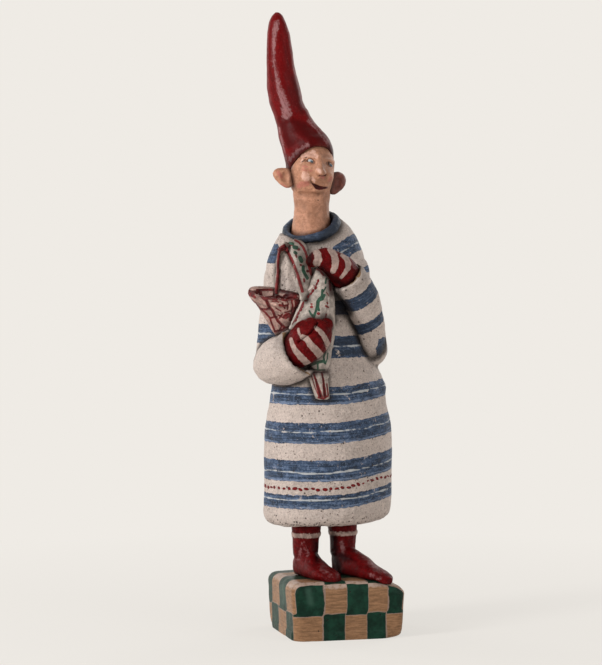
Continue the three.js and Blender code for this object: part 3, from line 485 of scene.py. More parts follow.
class ElfSizes(bpy.types.PropertyGroup):
    """Sizes that a maker would change"""
    __annotations__ = {
        key: bpy.props.FloatProperty(name=label(key), description=text, default=size * MM, min=0,
                                     unit="LENGTH", subtype="DISTANCE")
        for key, (text, size) in SIZES.items()}


class ElfColours(bpy.types.PropertyGroup):
    """Paints that a maker would change"""
    __annotations__ = {
        key: bpy.props.FloatVectorProperty(name=label(key), description=text, default=linear(colour),
                                           min=0, max=1, size=3, subtype="COLOR")
        for key, (text, colour) in PAINTS.items()}


def size(name):
    """A size from the settings, in mm."""
    return getattr(bpy.context.scene.elf_sizes, name) / MM


# Materials

def gown_paint():
    """Cast polyresin, gritty and pitted with air bubbles, brushed by hand with matt acrylic.

    Grit of 0.2 mm is drawn at 0.9 mm, because a finer one doesn't show at this distance."""
    material, tree = blank("Acrylic_on_cast_polyresin_gown")
    broad, patch = grain(tree, 18, 3.0), grain(tree, 3.0, 6.0, 0.7)
    grit = grain(tree, 0.9, 4.0, 0.75)
    dim, plain, lit, flecks = tones("gown_white", 0.86, 1.02, 1.18, 1.38)
    base = coats(tree, dim, (plain, broad, 0.35, 0.65), (lit, patch, 0.45, 0.68, 0.8),
                 ("85736a", grit, 0.51, 0.64, 0.68), (flecks, grit, 0.45, 0.33, 0.6),
                 ("6f5d53", patch, 0.42, 0.28, 0.45))
    blue, streak = brushed(tree, *tones("stripe_blue", 0.36, 1, (1.9, 0.05)), 17, 1.0, 1.2)
    dry = add(tree, "Math", (region(tree, "dry", 1.0, 0.9, 3.0), streak), operation="MULTIPLY")
    line = add(tree, "MapRange", (grain(tree, 4.0, 4.0, 0.7), 0.26, 0.37, 0, 0.9))
    line = add(tree, "Math", (region(tree, "line", 0.65, 0.2, 4.5), line), operation="MULTIPLY")
    flecks, gaps, pale, deep = tones("stripe_blue", (2.2, 0.12), 0.4, (2.4, 0.13), 0.3)
    # A darker blue is painted shade where the left arm shades the stripes, and on the left sleeve's stripes
    blue = coats(tree, blue, (flecks, grit, 0.53, 0.66, 0.65), (gaps, grit, 0.45, 0.33, 0.5),
                 (pale, dry, 0.3, 0.6, 0.8), (deep, region(tree, "navy", 1.5, 2.0, 3.0), 0, 1, 0.72),
                 (tone("line_white"), line))
    worn = add(tree, "MapRange", (grain(tree, 4.5, 6.0, 0.8), 0.65, 0.61))
    stripe = region(tree, "blue", size("edge_wobble"), 0.16, 3.4)
    stripe = add(tree, "Math", (stripe, worn), operation="MULTIPLY")
    width = size("pit_width")
    holes = add(tree, "Math", (pits(tree, 4.6, width), pits(tree, 2.2, 0.6 * width)), operation="MAXIMUM")
    crumbs = add(tree, "Math", (pits(tree, 1.35, width), region(tree, "coarse", 2.0, 1.0, 3.0)),
                 operation="MULTIPLY")
    holes = add(tree, "Math", (holes, crumbs), operation="MAXIMUM")
    # Over the stripes: bare tan cuff edges, a painted highlight along the cuffs' lips, and dark pits
    colour = coats(tree, base, (blue, stripe), ("94724f", region(tree, "raw", 0.6, 0.2, 1.6)),
                   ("dccdc2", region(tree, "lip", 0.35, 0.2, 2.0), 0, 1, 0.8), ("2e211b", holes, 0, 1, 0.85))
    colour = dark_wash_and_shade(tree, colour, "1f1714", 0.92)
    colour = coat(tree, colour, tone("trim_red", 1.3), region(tree, "trim", 0.4, 0.2, 1.8), 0, 1, 0.95)
    close(tree, colour, ((holes, -0.4), (patch, 0.5), (grit, 0.3), (streak, 0.1)), (patch, 0.5, 0.72), 0.25)
    return material


def lacquer(name, paint, rough, gloss, relief=0.1, wear=None, contrast=0.8, wash="120605"):
    """Cast polyresin under brushed satin lacquer: deep colour, with painted shade and soft grainy painted
    highlights along the brush's way.

    Its grit of 0.2 mm is drawn at 1 mm, as the gown's is."""
    material, tree = blank(name)
    colour, streak = brushed(tree, *tones(paint, 0.62, 1, 1.7), 12, 1.6, contrast)
    speck = grain(tree, 1.0, 4.0, 0.75)
    # Painted highlights, broken by grain and streaks, along the glow strokes; painted shade along the shade
    # strokes
    painted_highlight = add(tree, "Math", (speck, streak), operation="ADD")
    painted_highlight = add(tree, "Math", (region(tree, "glow", 1.6, 2.8, 4.0), painted_highlight), operation="MULTIPLY")
    gaps, flecks, dim, pale = tones(paint, 0.45, (1.5, 0.04), 0.4, (1.5, 0.18))
    colour = coats(tree, colour, (gaps, speck, 0.52, 0.68, 0.6), (flecks, speck, 0.45, 0.32, 0.5),
                   (dim, region(tree, "shade", 2.0, 4.0, 6.0), 0, 1, 0.85), (pale, painted_highlight, 0.66, 1.02, 0.72))
    # Raised places turn a lighter colour: partly rubbed wear, partly painted sheen
    if wear:
        hollow = add(tree, "Attribute", out="Fac", attribute_name="hollow")
        edge = add(tree, "Math", (hollow, speck), operation="MULTIPLY")
        colour = coat(tree, colour, wear, edge, -0.006, -0.025, 0.8)
    colour = dark_wash_and_shade(tree, colour, wash)
    close(tree, colour, ((streak, relief), (speck, 0.09)), (speck, rough - 0.05, rough + 0.12), gloss)
    return material


def layered_paint(name, ground, layers, rough=0.4, gloss=0.2, wash="24120f"):
    """Cast polyresin under satin acrylic: a mottled ground of four tones, with thin strokes over it.

    Its grit of 0.2 mm is drawn at 0.9 mm, as the gown's is."""
    material, tree = blank(name)
    patch, speck = grain(tree, 3.0, 4.0, 0.7), grain(tree, 0.9, 4.0, 0.75)
    dark, light, gaps, flecks = ground
    colour = coats(tree, dark, (light, patch, 0.36, 0.66), (gaps, speck, 0.52, 0.7, 0.55),
                   (flecks, speck, 0.46, 0.32, 0.45))
    relief = [(patch, 0.3), (speck, 0.25)]
    for field, dark, light, wobble, cover in layers:
        shape = region(tree, field, wobble, max(0.14, 0.45 * wobble), 1.5)
        colour = coat(tree, colour, coat(tree, dark, light, patch, 0.36, 0.66), shape, 0, 1, cover)
        relief.append((shape, 0.06))
    colour = dark_wash_and_shade(tree, colour, wash, 0.9)
    close(tree, colour, relief, (speck, rough - 0.05, rough + 0.12), gloss)
    return material


def chequered_paint():
    """Cast polyresin block: satin green and tan checks brushed level, with pale lines worn between them."""
    material, tree = blank("Acrylic_on_cast_polyresin_block")
    drift = grain(tree, 7.0, 3.0)
    total, seam = 0.0, 1.0
    for axis in ("column", "row", "tier"):
        place = add(tree, "Attribute", out="Fac", attribute_name=axis)
        place = add(tree, "Math", (drift, 0.08, place), operation="MULTIPLY_ADD")
        place = add(tree, "Math", (place, 0.04), operation="SUBTRACT")
        step = add(tree, "Math", (place,), operation="FLOOR")
        total = add(tree, "Math", (total, step), operation="ADD")
        near = add(tree, "Math", (place, step), operation="SUBTRACT")
        near = add(tree, "Math", (near, 0.5), operation="PINGPONG")
        seam = add(tree, "Math", (seam, near), operation="MINIMUM")
    odd = add(tree, "Math", (total, 2.0), operation="FLOORED_MODULO")
    speck, mid = grain(tree, 0.9, 4.0, 0.7), grain(tree, 5.0, 4.0, 0.6)
    streak = grain(tree, 0.9, 5.0, 0.75, (7, 7, 1))
    # The green checks get a painted highlight along the shine strokes
    dark, light, scratch, lit = tones("check_green", 0.55, 1.25, 4.0, (2.0, 0.03))
    green = coats(tree, dark, (light, mid, 0.35, 0.7), (scratch, streak, 0.6, 0.78, 0.4),
                  (lit, region(tree, "shine", 0.8, 2.4, 3.0), 0, 1, 0.6))
    dark, light, gaps = tones("check_tan", 0.74, 1.35, 0.5)
    tan = coats(tree, dark, (light, streak, 0.36, 0.66), (gaps, speck, 0.52, 0.75, 0.6))
    colour = add(tree, "Mix", {0: odd, 6: green, 7: tan}, out=2, data_type="RGBA")
    line = add(tree, "MapRange", (seam, 0.021, 0.006), interpolation_type="SMOOTHSTEP")
    line = add(tree, "Math", (line, speck), operation="MULTIPLY")
    rim = add(tree, "Attribute", out="Fac", attribute_name="rim")
    worn = add(tree, "Math", (rim, grain(tree, 3.0, 5.0, 0.75)), operation="MULTIPLY")
    share = add(tree, "Math", (odd, 0.35), operation="MAXIMUM")
    worn = add(tree, "Math", (worn, share), operation="MULTIPLY")
    holes = pits(tree, 6.0, 0.7)
    colour = coats(tree, colour, ("8f786c", line, 0.1, 0.5), ("b7a195", worn, 0.3, 0.55, 0.8),
                   ("1b1512", holes, 0, 1, 0.7))
    colour = dark_wash_and_shade(tree, colour, "15110e", 0.7)
    close(tree, colour, ((streak, 0.2), (mid, 0.3), (holes, -0.3)), (speck, 0.28, 0.45), 0.09)
    return material


def green_felt():
    """Wool felt, pressed: matt, its fuzz of 0.02 mm fibres drawn as clumps 0.5 mm wide so that they show."""
    material, tree = blank("Pressed_wool_felt")
    fibre = grain(tree, 0.5, 4.0, 0.8)
    close(tree, coat(tree, "1d3a28", "3a6a4b", fibre, 0.2, 0.8), ((fibre, 0.15),), (fibre, 0.9, 1.0),
          Sheen_Weight=0.3)
    return material


def drawn_steel():
    """Steel rod, drawn through a die: grey metal with fine lines along its length."""
    material, tree = blank("Drawn_steel_rod")
    lines = grain(tree, 0.3, 3.0, 0.5, (1, 1, 30))
    close(tree, coat(tree, "8d8f93", "b4b6ba", lines, 0.3, 0.7), ((lines, 0.02),), (lines, 0.3, 0.42), 0.5,
          Metallic=1.0)
    return material


def dab_paint():
    """Thick satin acrylic, set down in one touch of a round brush: a soft light on each raised dab."""
    material, tree = blank("Thick_red_acrylic_dabs")
    speck = grain(tree, 0.8, 3.0)
    colour = coat(tree, tone("trim_red", 0.55), tone("trim_red", 1.25), speck, 0.3, 0.7)
    close(tree, colour, ((speck, 0.08),), (speck, 0.35, 0.45), 0.2)
    return material


# Stripes of the gown: levels over the block of the lower edge, the upper edge and the light line, in mm

TORSO_BANDS = [(100, 110, 105.8), (78, 89.8, 84.9), (56.5, 68.5, 61.7), (40.9, 48.8, 46)]
CHEST_BAND = (126.2, 138.7, 133)
CHEST_RISE = 6.5                # how much higher it lies over the right arm
UNDER_ARM_BAND = (150.6, 158.6)
SHOULDER_PATCH = (180, 191)
ELBOW_BAND = (156, 169.5)       # over the surface that the figure stands on
WAIST_LINE, DOT_LEVEL, COARSE_LEVEL, SHOULDER_LEVEL = 95, 52.2, 34.2, 168
DROP_FROM, DROP, DROP_WIDTH = -5, 4.5, 37      # where the stripes start to sink, by how much and over how far

# The ring of the hem's dabs: the skirt's axis and half width, and where its rays start and how many there are

SKIRT_AXIS, SKIRT_HALF, RING_START, RING_STEPS = -2, 34, 80, 120

# Slanted stripes: a spot of the middle plane, the way across it, half the width and the light line's place

SHOULDER_BANDS = [((8.0, -14, 224.0), (0.62, -0.1, -0.78), 4.8, 0.5),
                  ((16.5, -10, 209.5), (0.55, -0.1, -0.83), 1.8, 9)]
FOREARM_BANDS = [((15.0, -21, 193.5), (-0.5, -0.4, 0.76), 4.7), ((21.1, -10, 179.8), (-0.45, -0.4, 0.8), 3.3)]
ARM_SHADED_BLUE = {"right": BARE, "left": 0.5}        # how deep each sleeve lies in the darker blue of painted shade


def sink(x):
    """How much lower the torso's stripes hang at x, since they sink towards the left hip."""
    return DROP * (np.maximum(x - DROP_FROM, 0) / DROP_WIDTH) ** 2


def between(values, low, high):
    """How far values lie inside a band, in mm, and below 0 outside it."""
    return np.minimum(values - low, high - values)


def across(p, centre, axis):
    """Distance in mm from a slanted plane, along its axis."""
    return (p - np.array(centre)) @ (np.array(axis) / np.linalg.norm(axis))


def note_deepest(obj, **fields):
    """Keeps the deepest of each list of distances inside painted shapes."""
    note(obj, **{name: np.max(found, axis=0).clip(-KEPT, KEPT) for name, found in fields.items()})


def note_bare(obj, *names):
    """Keeps that the paints of these names are nowhere on the piece."""
    note(obj, **{name: np.full(len(obj.data.vertices), BARE) for name in names})


def note_gown(obj):
    """Notes the gown's blue stripes, their light lines and dry edges, the brush's way and the coarse hem."""
    p = from_row(coordinates(obj.data))
    x, y, level = p[:, 0], p[:, 1], p[:, 2] - BLOCK_TOP
    lower = level - sink(x)
    # How far the light lines stray, half their width, and how raggedly the short stripes end
    stray = 0.6 * lumps(p, 11, 8) + 0.3 * lumps(p, 4, 9)
    fine = 0.42 + 0.3 * lumps(p, 6, 11)
    stop = 1.2 * lumps(p, 4, 15)
    # The stripes round the whole torso, with a light line of its own at the waist
    blue = [between(lower, low, high) for low, high, pale in TORSO_BANDS]
    line = [fine - np.abs(lower + stray - pale) for low, high, pale in TORSO_BANDS]
    dry = [1.0 - np.abs(lower - low - 0.8) for low, high, pale in TORSO_BANDS]
    line.append(fine - 0.2 - np.abs(lower + stray - WAIST_LINE - 0.05 * x))
    # The chest's stripe, which stops under the left sleeve
    arm = ramp(-x, 8, 22)
    chest = level - CHEST_RISE * arm
    shown = (x < 24) | (y > 6)
    low, high, pale = CHEST_BAND
    blue.append(np.where(shown, between(chest, low + 1.5 * arm, high), -KEPT))
    line.append(np.where(shown, fine - np.abs(chest + stray - pale), -KEPT))
    # The short stripes under the left arm, on the back and on the shoulder
    for band, round_arm in ((UNDER_ARM_BAND, np.maximum(between(x, -6, 14), y - 8)),
                            (SHOULDER_PATCH, np.maximum(-33 - x, np.minimum(y - 6, 6 - x)))):
        blue.append(np.minimum(between(level, *band), stop + round_arm))
    for centre, axis, half, pale in SHOULDER_BANDS:
        along = across(p, centre, axis)
        inside = np.minimum(half - np.abs(along), np.minimum(stop + x + 2, level - SHOULDER_LEVEL))
        blue.append(inside)
        line.append(np.where(inside > 0, fine - np.abs(along + stray - pale), -KEPT))
    note_deepest(obj, blue=blue, line=line, dry=dry)
    note(obj, course=lower, coarse=COARSE_LEVEL - level + 2.6 * lumps(p, 5, 14))


def note_sleeve(obj, striped):
    """Notes the forearm's stripes, which go round it."""
    p = from_row(coordinates(obj.data))
    blue = [np.full(len(p), -KEPT)]
    if striped:
        blue += [half - np.abs(across(p, centre, axis)) for centre, axis, half in FOREARM_BANDS]
        blue.append(np.where((p[:, 1] > 2) | (p[:, 0] > 24.5), between(p[:, 2], *ELBOW_BAND), -KEPT))
        blue.append(strokes(obj, ELBOW_BLUE))
    note_deepest(obj, blue=blue)
    note(obj, course=across(p, *FOREARM_BANDS[0][:2]))
    note_bare(obj, "line", "dry", "coarse", "trim")


def cuff(obj, bare, lip):
    """Tears the cuff's rim a little, and notes its bare tan edge and a painted highlight along the lip round
    it.
    """
    raw = strokes(obj, bare)
    near = ramp(np.maximum(raw, strokes(obj, lip)), -2.5, 0)
    p = coordinates(obj.data)
    emboss(obj, near * (0.25 + 0.55 * lumps(p, 2.6, 6) + 0.3 * lumps(p, 1.4, 7)))
    note(obj, raw=raw, lip=strokes(obj, lip))


# Dabs along a path, by Geometry Nodes

def dab_tree():
    """Dabs of thick paint set down along a path, each lying on the surface under it."""
    tree = bpy.data.node_groups.new("Paint dabs", "GeometryNodeTree")
    for name, kind in (("Path", "Geometry"), ("Surface", "Object"), ("Pitch", "Float"), ("Length", "Float"),
                       ("Width", "Float"), ("Height", "Float"), ("Drift", "Float"), ("Slant", "Float"),
                       ("Seed", "Int"), ("Paint", "Material")):
        tree.interface.new_socket(name=name, in_out="INPUT", socket_type="NodeSocket" + kind)
    tree.interface.new_socket(name="Dabs", in_out="OUTPUT", socket_type="NodeSocketGeometry")
    given = tree.nodes.new("NodeGroupInput").outputs
    path = add(tree, "GeometryNodeMeshToCurve", {"Mesh": given["Path"]})
    points = add(tree, "GeometryNodeCurveToPoints", {"Curve": path, "Length": given["Pitch"]}, mode="LENGTH")
    tangent = points.node.outputs["Tangent"]
    back = add(tree, "Math", (given["Drift"], -1.0), operation="MULTIPLY")
    stray = add(tree, "FunctionNodeRandomValue", {0: back, 1: given["Drift"], "Seed": given["Seed"]},
                data_type="FLOAT_VECTOR")
    points = add(tree, "GeometryNodeSetPosition", {"Geometry": points, "Offset": stray})
    surface = add(tree, "GeometryNodeObjectInfo", {"Object": given["Surface"]}, out="Geometry")
    place = add(tree, "GeometryNodeInputPosition")
    foot, up = (add(tree, "GeometryNodeSampleNearestSurface",
                    {"Mesh": surface, "Value": value, "Sample Position": place}, data_type="FLOAT_VECTOR")
                for value in (place, add(tree, "GeometryNodeInputNormal")))
    points = add(tree, "GeometryNodeSetPosition", {"Geometry": points, "Position": foot})
    lie = add(tree, "FunctionNodeAlignRotationToVector", {"Vector": tangent}, axis="X")
    lie = add(tree, "FunctionNodeAlignRotationToVector", {"Rotation": lie, "Vector": up}, axis="Z")
    flip = add(tree, "Math", (given["Slant"], -0.3), operation="MULTIPLY")
    slant = add(tree, "FunctionNodeRandomValue", {2: flip, 3: given["Slant"], "Seed": given["Seed"]}, out=1)
    slant = add(tree, "FunctionNodeAxisAngleToRotation", {"Axis": (0, 0, 1), "Angle": slant})
    lie = add(tree, "FunctionNodeRotateRotation", {"Rotation": lie, "Rotate By": slant},
              rotation_space="LOCAL")
    spans = []
    shares = (("Length", 0.28, 0.62), ("Width", 0.3, 0.6), ("Height", 0.7, 1.2))
    for shift, (name, low, high) in enumerate(shares):
        seed = add(tree, "Math", (given["Seed"], shift + 1), operation="ADD")
        share = add(tree, "FunctionNodeRandomValue", {2: low, 3: high, "Seed": seed}, out=1)
        spans.append(add(tree, "Math", (given[name], share), operation="MULTIPLY"))
    dab = add(tree, "GeometryNodeMeshIcoSphere", {"Radius": 1.0, "Subdivisions": 2})
    extent = add(tree, "CombineXYZ", spans)
    placed = add(tree, "GeometryNodeInstanceOnPoints",
                 {"Points": points, "Instance": dab, "Rotation": lie, "Scale": extent})
    real = add(tree, "GeometryNodeRealizeInstances", {"Geometry": placed})
    done = add(tree, "GeometryNodeSetMaterial", {"Geometry": real, "Material": given["Paint"]})
    add(tree, "NodeGroupOutput", (done,))
    return tree


def dabs(name, places, closed, surface, slot, **values):
    """A row of paint dabs along places given in metres, on the surface piece."""
    links = [(i, i + 1) for i in range(len(places) - 1)] + ([(len(places) - 1, 0)] if closed else [])
    mesh = bpy.data.meshes.new(name)
    mesh.from_pydata([tuple(place) for place in places], links, [])
    obj = bpy.data.objects.new(name, mesh)
    bpy.context.scene.collection.objects.link(obj)
    tree = bpy.data.node_groups.get("Paint dabs") or dab_tree()
    change = obj.modifiers.new("Paint dabs", "NODES")
    change.node_group = tree
    values["Surface"] = surface
    for item in tree.interface.items_tree:
        if item.in_out == "INPUT" and item.name in values:
            change[item.identifier] = values[item.name]
    baked(obj)
    obj.data.shade_smooth()
    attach(obj, BODY)


# Tables of the view

# A stroke is half its width in mm, or a pair for its two ends, and then its line. A press is half its width,
# its height and its softness in mm, and then its line. A pull is a spot, its radius and how far right and up
# it goes in mm. A bulge is x, y and z before the camera, its radius and its height in mm.

BOOT_BANDS = {"right": (55.0, 57.6), "left": (55.3, 57.6)}
BOOT_FOLDS = {
    "right": [(296, 549, 302, 556, 309, 561), (301, 545, 306, 552, 314, 557), (305, 562, 313, 566, 320, 569)],
    "left": [(334, 552, 340, 557, 348, 559), (341, 546, 346, 551, 353, 553), (350, 564, 361, 568, 371, 573)],
}
BOOT_PULLS = {
    "right": [(327, 564, 11, -0.7, -0.7), (334, 582, 9, 1.0, -1.8)],
    "left": [(333, 566, 7, 0.9, 0), (384, 566, 10, 0, -1.5), (388, 581, 8, 0.6, -1.9)],
}
# Less dark wash and painted shade on the boots' toes
BOOT_LESS_SHADE = {
    "right": [(5, 310, 572, 322, 579, 334, 582)],
    "left": [(5, 350, 570, 368, 577, 388, 582)],
}
# Painted shadow on the boots' inner and shaded flanks
BOOT_SHADOW_STROKES = {
    "right": [(0.9, 316, 545, 317, 562)],
    "left": [(1.6, 334, 540, 335, 558, 341, 571), (1.5, 341, 557, 349, 562, 358, 570)],
}
# Painted highlights on the boots
BOOT_LIT = {
    "right": [(1.0, 303, 545, 308, 556), (0.8, 301, 551, 298, 561), (1.0, 322, 571, 331, 578)],
    "left": [(1.2, 342, 544, 344, 553), (1.0, 370, 563, 385, 573), (0.9, 371, 576, 380, 580)],
}
GOWN_PULLS = [(364, 256, 14, 0.9, 0), (352, 232, 12, 0.6, 0.3), (266, 270, 14, -0.5, 0),
    (388, 402, 12, -0.8, 0), (268, 518, 10, -0.4, 0)]
GOWN_BULGES = [(31, 3, 120, 30, 0.9), (32, 3, 92, 26, 0.9), (-33, 0, 70, 14, 0.8), (19, -4, 214, 16, 1.2),
    (11, 0, 230, 13, 1.1), (31, 2, 142, 7, 0.8), (31.5, 0, 133, 5, 0.7), (27, -2, 190, 16, -1.0)]
# Darker blue painted as shade where the left arm's shadow falls on the stripes
GOWN_SHADED_BLUE = [(2.4, 326, 344, 345, 342, 374, 341), (1.8, 326, 354.5, 350, 352, 374, 352)]
GOWN_TRIM = [(1.2, 279.5, 249.5, 282.5, 247, 286.5, 249),
    (0.85, 286.5, 249, 289, 254, 291.5, 259, 294.5, 265, 297, 271)]
# Less dark wash and painted shade on the gown inside the strap
GOWN_LESS_SHADE = [(2.6, 282, 253, 281, 270, 281, 286), (2.4, 286, 258, 291, 274, 295, 288),
    (2.4, 286, 268, 288, 288)]
# Painted shadow under the left arm and mitten, and along the right cuff
GOWN_SHADOW_STROKES = [(3.0, 335, 280, 336, 296, 347, 312), (5.0, 336, 304, 341, 307), (2.2, 333, 300, 333, 320),
    (0.6, 285.5, 335, 285.5, 345, 289, 356, 295, 365, 305, 372)]
STRAP_FOLDS = [(0.7, 280, 252, 279, 270, 281, 289), (-0.8, 283.5, 256, 284, 272, 285, 288),
    (0.7, 288, 262, 288, 275, 290, 288), (-0.7, 292, 268, 293, 278, 296, 289),
    (0.5, 296, 276, 298, 284, 300, 291)]
SLEEVE_BULGES = {
    "right": [(-44, -8, 148, 14, 1.7)],
    "left": [(29, -1, 188, 18, -1.3), (27, 0, 172, 14, -0.8), (28, 0, 154, 8, 1.3)],
}
CUFF_BARE = {
    "right": [(1.0, 284.5, 334, 284, 341, 286, 346), (0.45, 286, 347, 289, 357),
        (0.35, 292, 363, 300, 370, 309, 374)],
    "left": [(1.05, 356.5, 263.5, 359, 266, 359.3, 272, 358.5, 276),
        (0.4, 356.5, 278, 353, 282.5, 347, 285.5)],
}
# Painted highlights along the cuffs' lips
CUFF_LIP_HIGHLIGHTS = {
    "right": [(0.2, 282, 335, 282.5, 343, 285, 352, 288, 360, 292, 365, 300, 371)],
    "left": [(0.3, 361.3, 266, 361.5, 275, 356.5, 281, 352.5, 285, 346.5, 287, 342.5, 290)],
}
ELBOW_BLUE = [(2.2, 384, 341, 380, 350, 380, 356)]
# Painted shade on the collar's right side and lowest front, and painted highlights on its left
COLLAR_SHADE = [(2.6, 325, 238, 333, 226, 336, 219, 330, 213), (1.2, 302, 244, 316, 244)]
COLLAR_LIT = [(2.2, 282, 229, 284, 235, 294, 240), (1.0, 296, 239, 303, 241)]
HANDS = {
    "left": [((1.9, 2.3), 315, 249.5, 317.5, 254, 318.5, 259, 317, 262.5),
        ((1.7, 2.1), 330.5, 249, 334.3, 255, 335.5, 261), ((2.1, 1.5), 335.5, 261, 335, 267, 333, 271),
        ((1.0, 1.75), 342, 255, 346.5, 258.5, 348.3, 263),
        ((1.75, 0.9), 348.3, 263, 348, 268, 345, 273, 341, 277.5)],
    "right": [((1.2, 1.7), 316, 327.5, 320, 331, 324, 336, 327.5, 343, 329.5, 350),
        ((1.5, 2.1), 302.5, 337, 307, 339, 310, 344, 315, 349), ((2.1, 2.3), 315, 349, 320, 355, 325, 362),
        ((1.0, 1.9), 290.8, 339, 292.5, 345, 296, 351.5, 301, 357),
        ((1.9, 1.9), 301, 357, 307, 363, 312, 369), ((0.8, 0.5), 298.3, 329, 299, 333, 301, 337)],
}
HAND_FOLDS = {
    "left": [(0.3, -0.6, 1.0, 309, 266, 316, 267, 323, 270)],
    "right": [(0.25, -1.5, 1.1, 317.5, 322, 315, 327, 311, 332, 304, 337, 298, 342),
        (1.2, 0.9, 1.2, 301, 329, 307, 323, 313, 320), (1.2, 0.8, 1.2, 322, 326, 327, 329),
        (0.2, -0.5, 0.8, 315, 331, 322, 339, 327, 347)],
}
# Painted shadow under the left mitten and at its inner end
MITTEN_SHADOW_STROKES = [(1.5, 322, 270, 333, 279, 344, 285), (1.3, 309, 252, 309.5, 262)]
HEAD_PRESSES = [(1.0, 0.9, 1.6, 318, 155, 319.5, 163, 321, 171), (1.3, 1.5, 1.6, 320, 171.5, 322, 173),
    (0.2, -0.8, 0.9, 319, 176.5, 323, 177.3, 326.5, 175.5),
    (0.6, 0.6, 1.1, 303, 157.5, 308, 155.5, 314, 157.5), (0.5, 0.5, 1.0, 325, 159.5, 329, 159.5, 333, 162),
    (0.5, -0.9, 1.3, 306, 161, 310, 161.3, 313.5, 162.5), (0.5, -0.9, 1.2, 328, 163.5, 331, 165.5),
    (0.5, 0.5, 0.7, 309.5, 160.8, 311.5, 161.2), (0.4, 0.5, 0.6, 330.3, 164.8, 331.3, 165.6),
    (1.6, 1.0, 2.6, 305, 174, 307, 178), (1.0, 0.7, 1.8, 329.5, 175, 330, 178),
    (0.5, -1.0, 0.6, 315, 185.8, 317.5, 187, 321, 187.9, 324, 187.7),
    (0.4, 0.5, 0.9, 313, 181, 317, 183.2, 322, 185, 327, 185.5),
    (0.5, 0.7, 1.1, 315, 190.8, 319, 192, 325, 190.8), (0.2, -0.4, 0.8, 311.5, 178, 310.8, 181, 311.5, 183),
    (0.3, -0.45, 1.6, 300, 194, 306, 195.3, 312, 195, 319, 195.5),
    (0.8, 0.4, 1.8, 300, 199, 310, 202, 319, 203)]
# The face's strokes. shade is painted shade under the chin, beside the nose and on the neck; glow is painted
# highlights on the cheek, nose, brow and ear; umber is a dark umber that is partly painted shade
FACE = {
    "eyes": [((0.6, 0.75), 309.2, 160.6, 310.5, 160.4, 312.2, 161.8), (0.6, 330.3, 164.5, 331.6, 166)],
    "iris": [(0.5, 311.3, 161.6, 312.2, 162), (0.55, 330.6, 164.8, 331.4, 166)],
    "dark": [(0.42, 307.1, 160.6, 307.6, 161.4), (0.2, 307.2, 159.8, 309, 158.3, 312, 158.8, 313.6, 160.8),
        (0.3, 302, 162, 303.5, 161, 305.2, 159.6), (0.25, 304.8, 158, 307, 157.2),
        (0.45, 328.6, 162.6, 328.9, 164.2), (0.2, 329, 161.8, 331.5, 163), (0.3, 317.8, 200, 318.4, 200.3)],
    "mouth": [((0.4, 1.3), 312.3, 183.6, 314.8, 185.3, 316.8, 187),
        ((1.3, 1.0), 316.8, 187, 319.5, 188, 322, 187.9), ((0.9, 0.45), 322, 187.9, 327, 187.7)],
    "blush": [(1.5, 299, 186, 302, 184, 307, 183.5), (0.8, 320.5, 177, 323.5, 177.5),
        (0.45, 302.5, 169.5, 306, 170.6, 312, 170.8), (0.6, 304, 166.5, 307, 166.8),
        (0.9, 329.5, 181, 331, 178), (0.5, 278, 172, 281, 177)],
    "glow": [(1.5, 281.5, 171, 284, 177, 286, 181.5), (2.2, 305, 175.3, 306.2, 178),
        (1.3, 303, 156, 309, 154.5, 316, 156), (0.8, 312, 178, 314, 181), (1.1, 318.3, 170, 319.5, 171.5),
        (0.9, 308, 153.5, 314, 151.5), (0.5, 303, 158.5, 301, 163)],
    "shade": [(1.6, 301, 193.5, 307, 194.5, 314, 194.5, 322, 194), (1.1, 321, 178, 326, 178.5),
        (1.0, 316, 214, 314.5, 218), (2.2, 326, 158, 326, 171), (2.6, 328, 196, 327, 218),
        (2.5, 298, 203, 312, 208, 312, 220)],
    "umber": [(0.35, 320, 175.2, 323, 175.8, 326, 174.6), (0.3, 290.3, 184, 291, 189)],
}
EAR_RED = [(0.9, 278, 172, 281, 177), (0.5, 282, 184, 290, 190)]
HAT_PULLS = [(333, 150, 14, -0.5, 0), (316, 128, 10, -0.4, 0), (268, 20, 12, 0.5, 0), (288, 30, 12, 0.3, 0)]
HAT_PRESSES = [(1.8, 0.8, 4.0, 281, 74, 283, 88, 287, 104, 288, 112),
    (0.8, -0.8, 3.2, 284, 119, 291, 116.5, 300, 120), (0.5, 0.6, 2.4, 306, 112, 312, 124, 318, 130),
    (0.5, -0.5, 2.4, 298, 70, 302, 88, 308, 104), (0.6, 0.4, 2.0, 288, 160, 292, 152, 300, 146, 308, 143)]
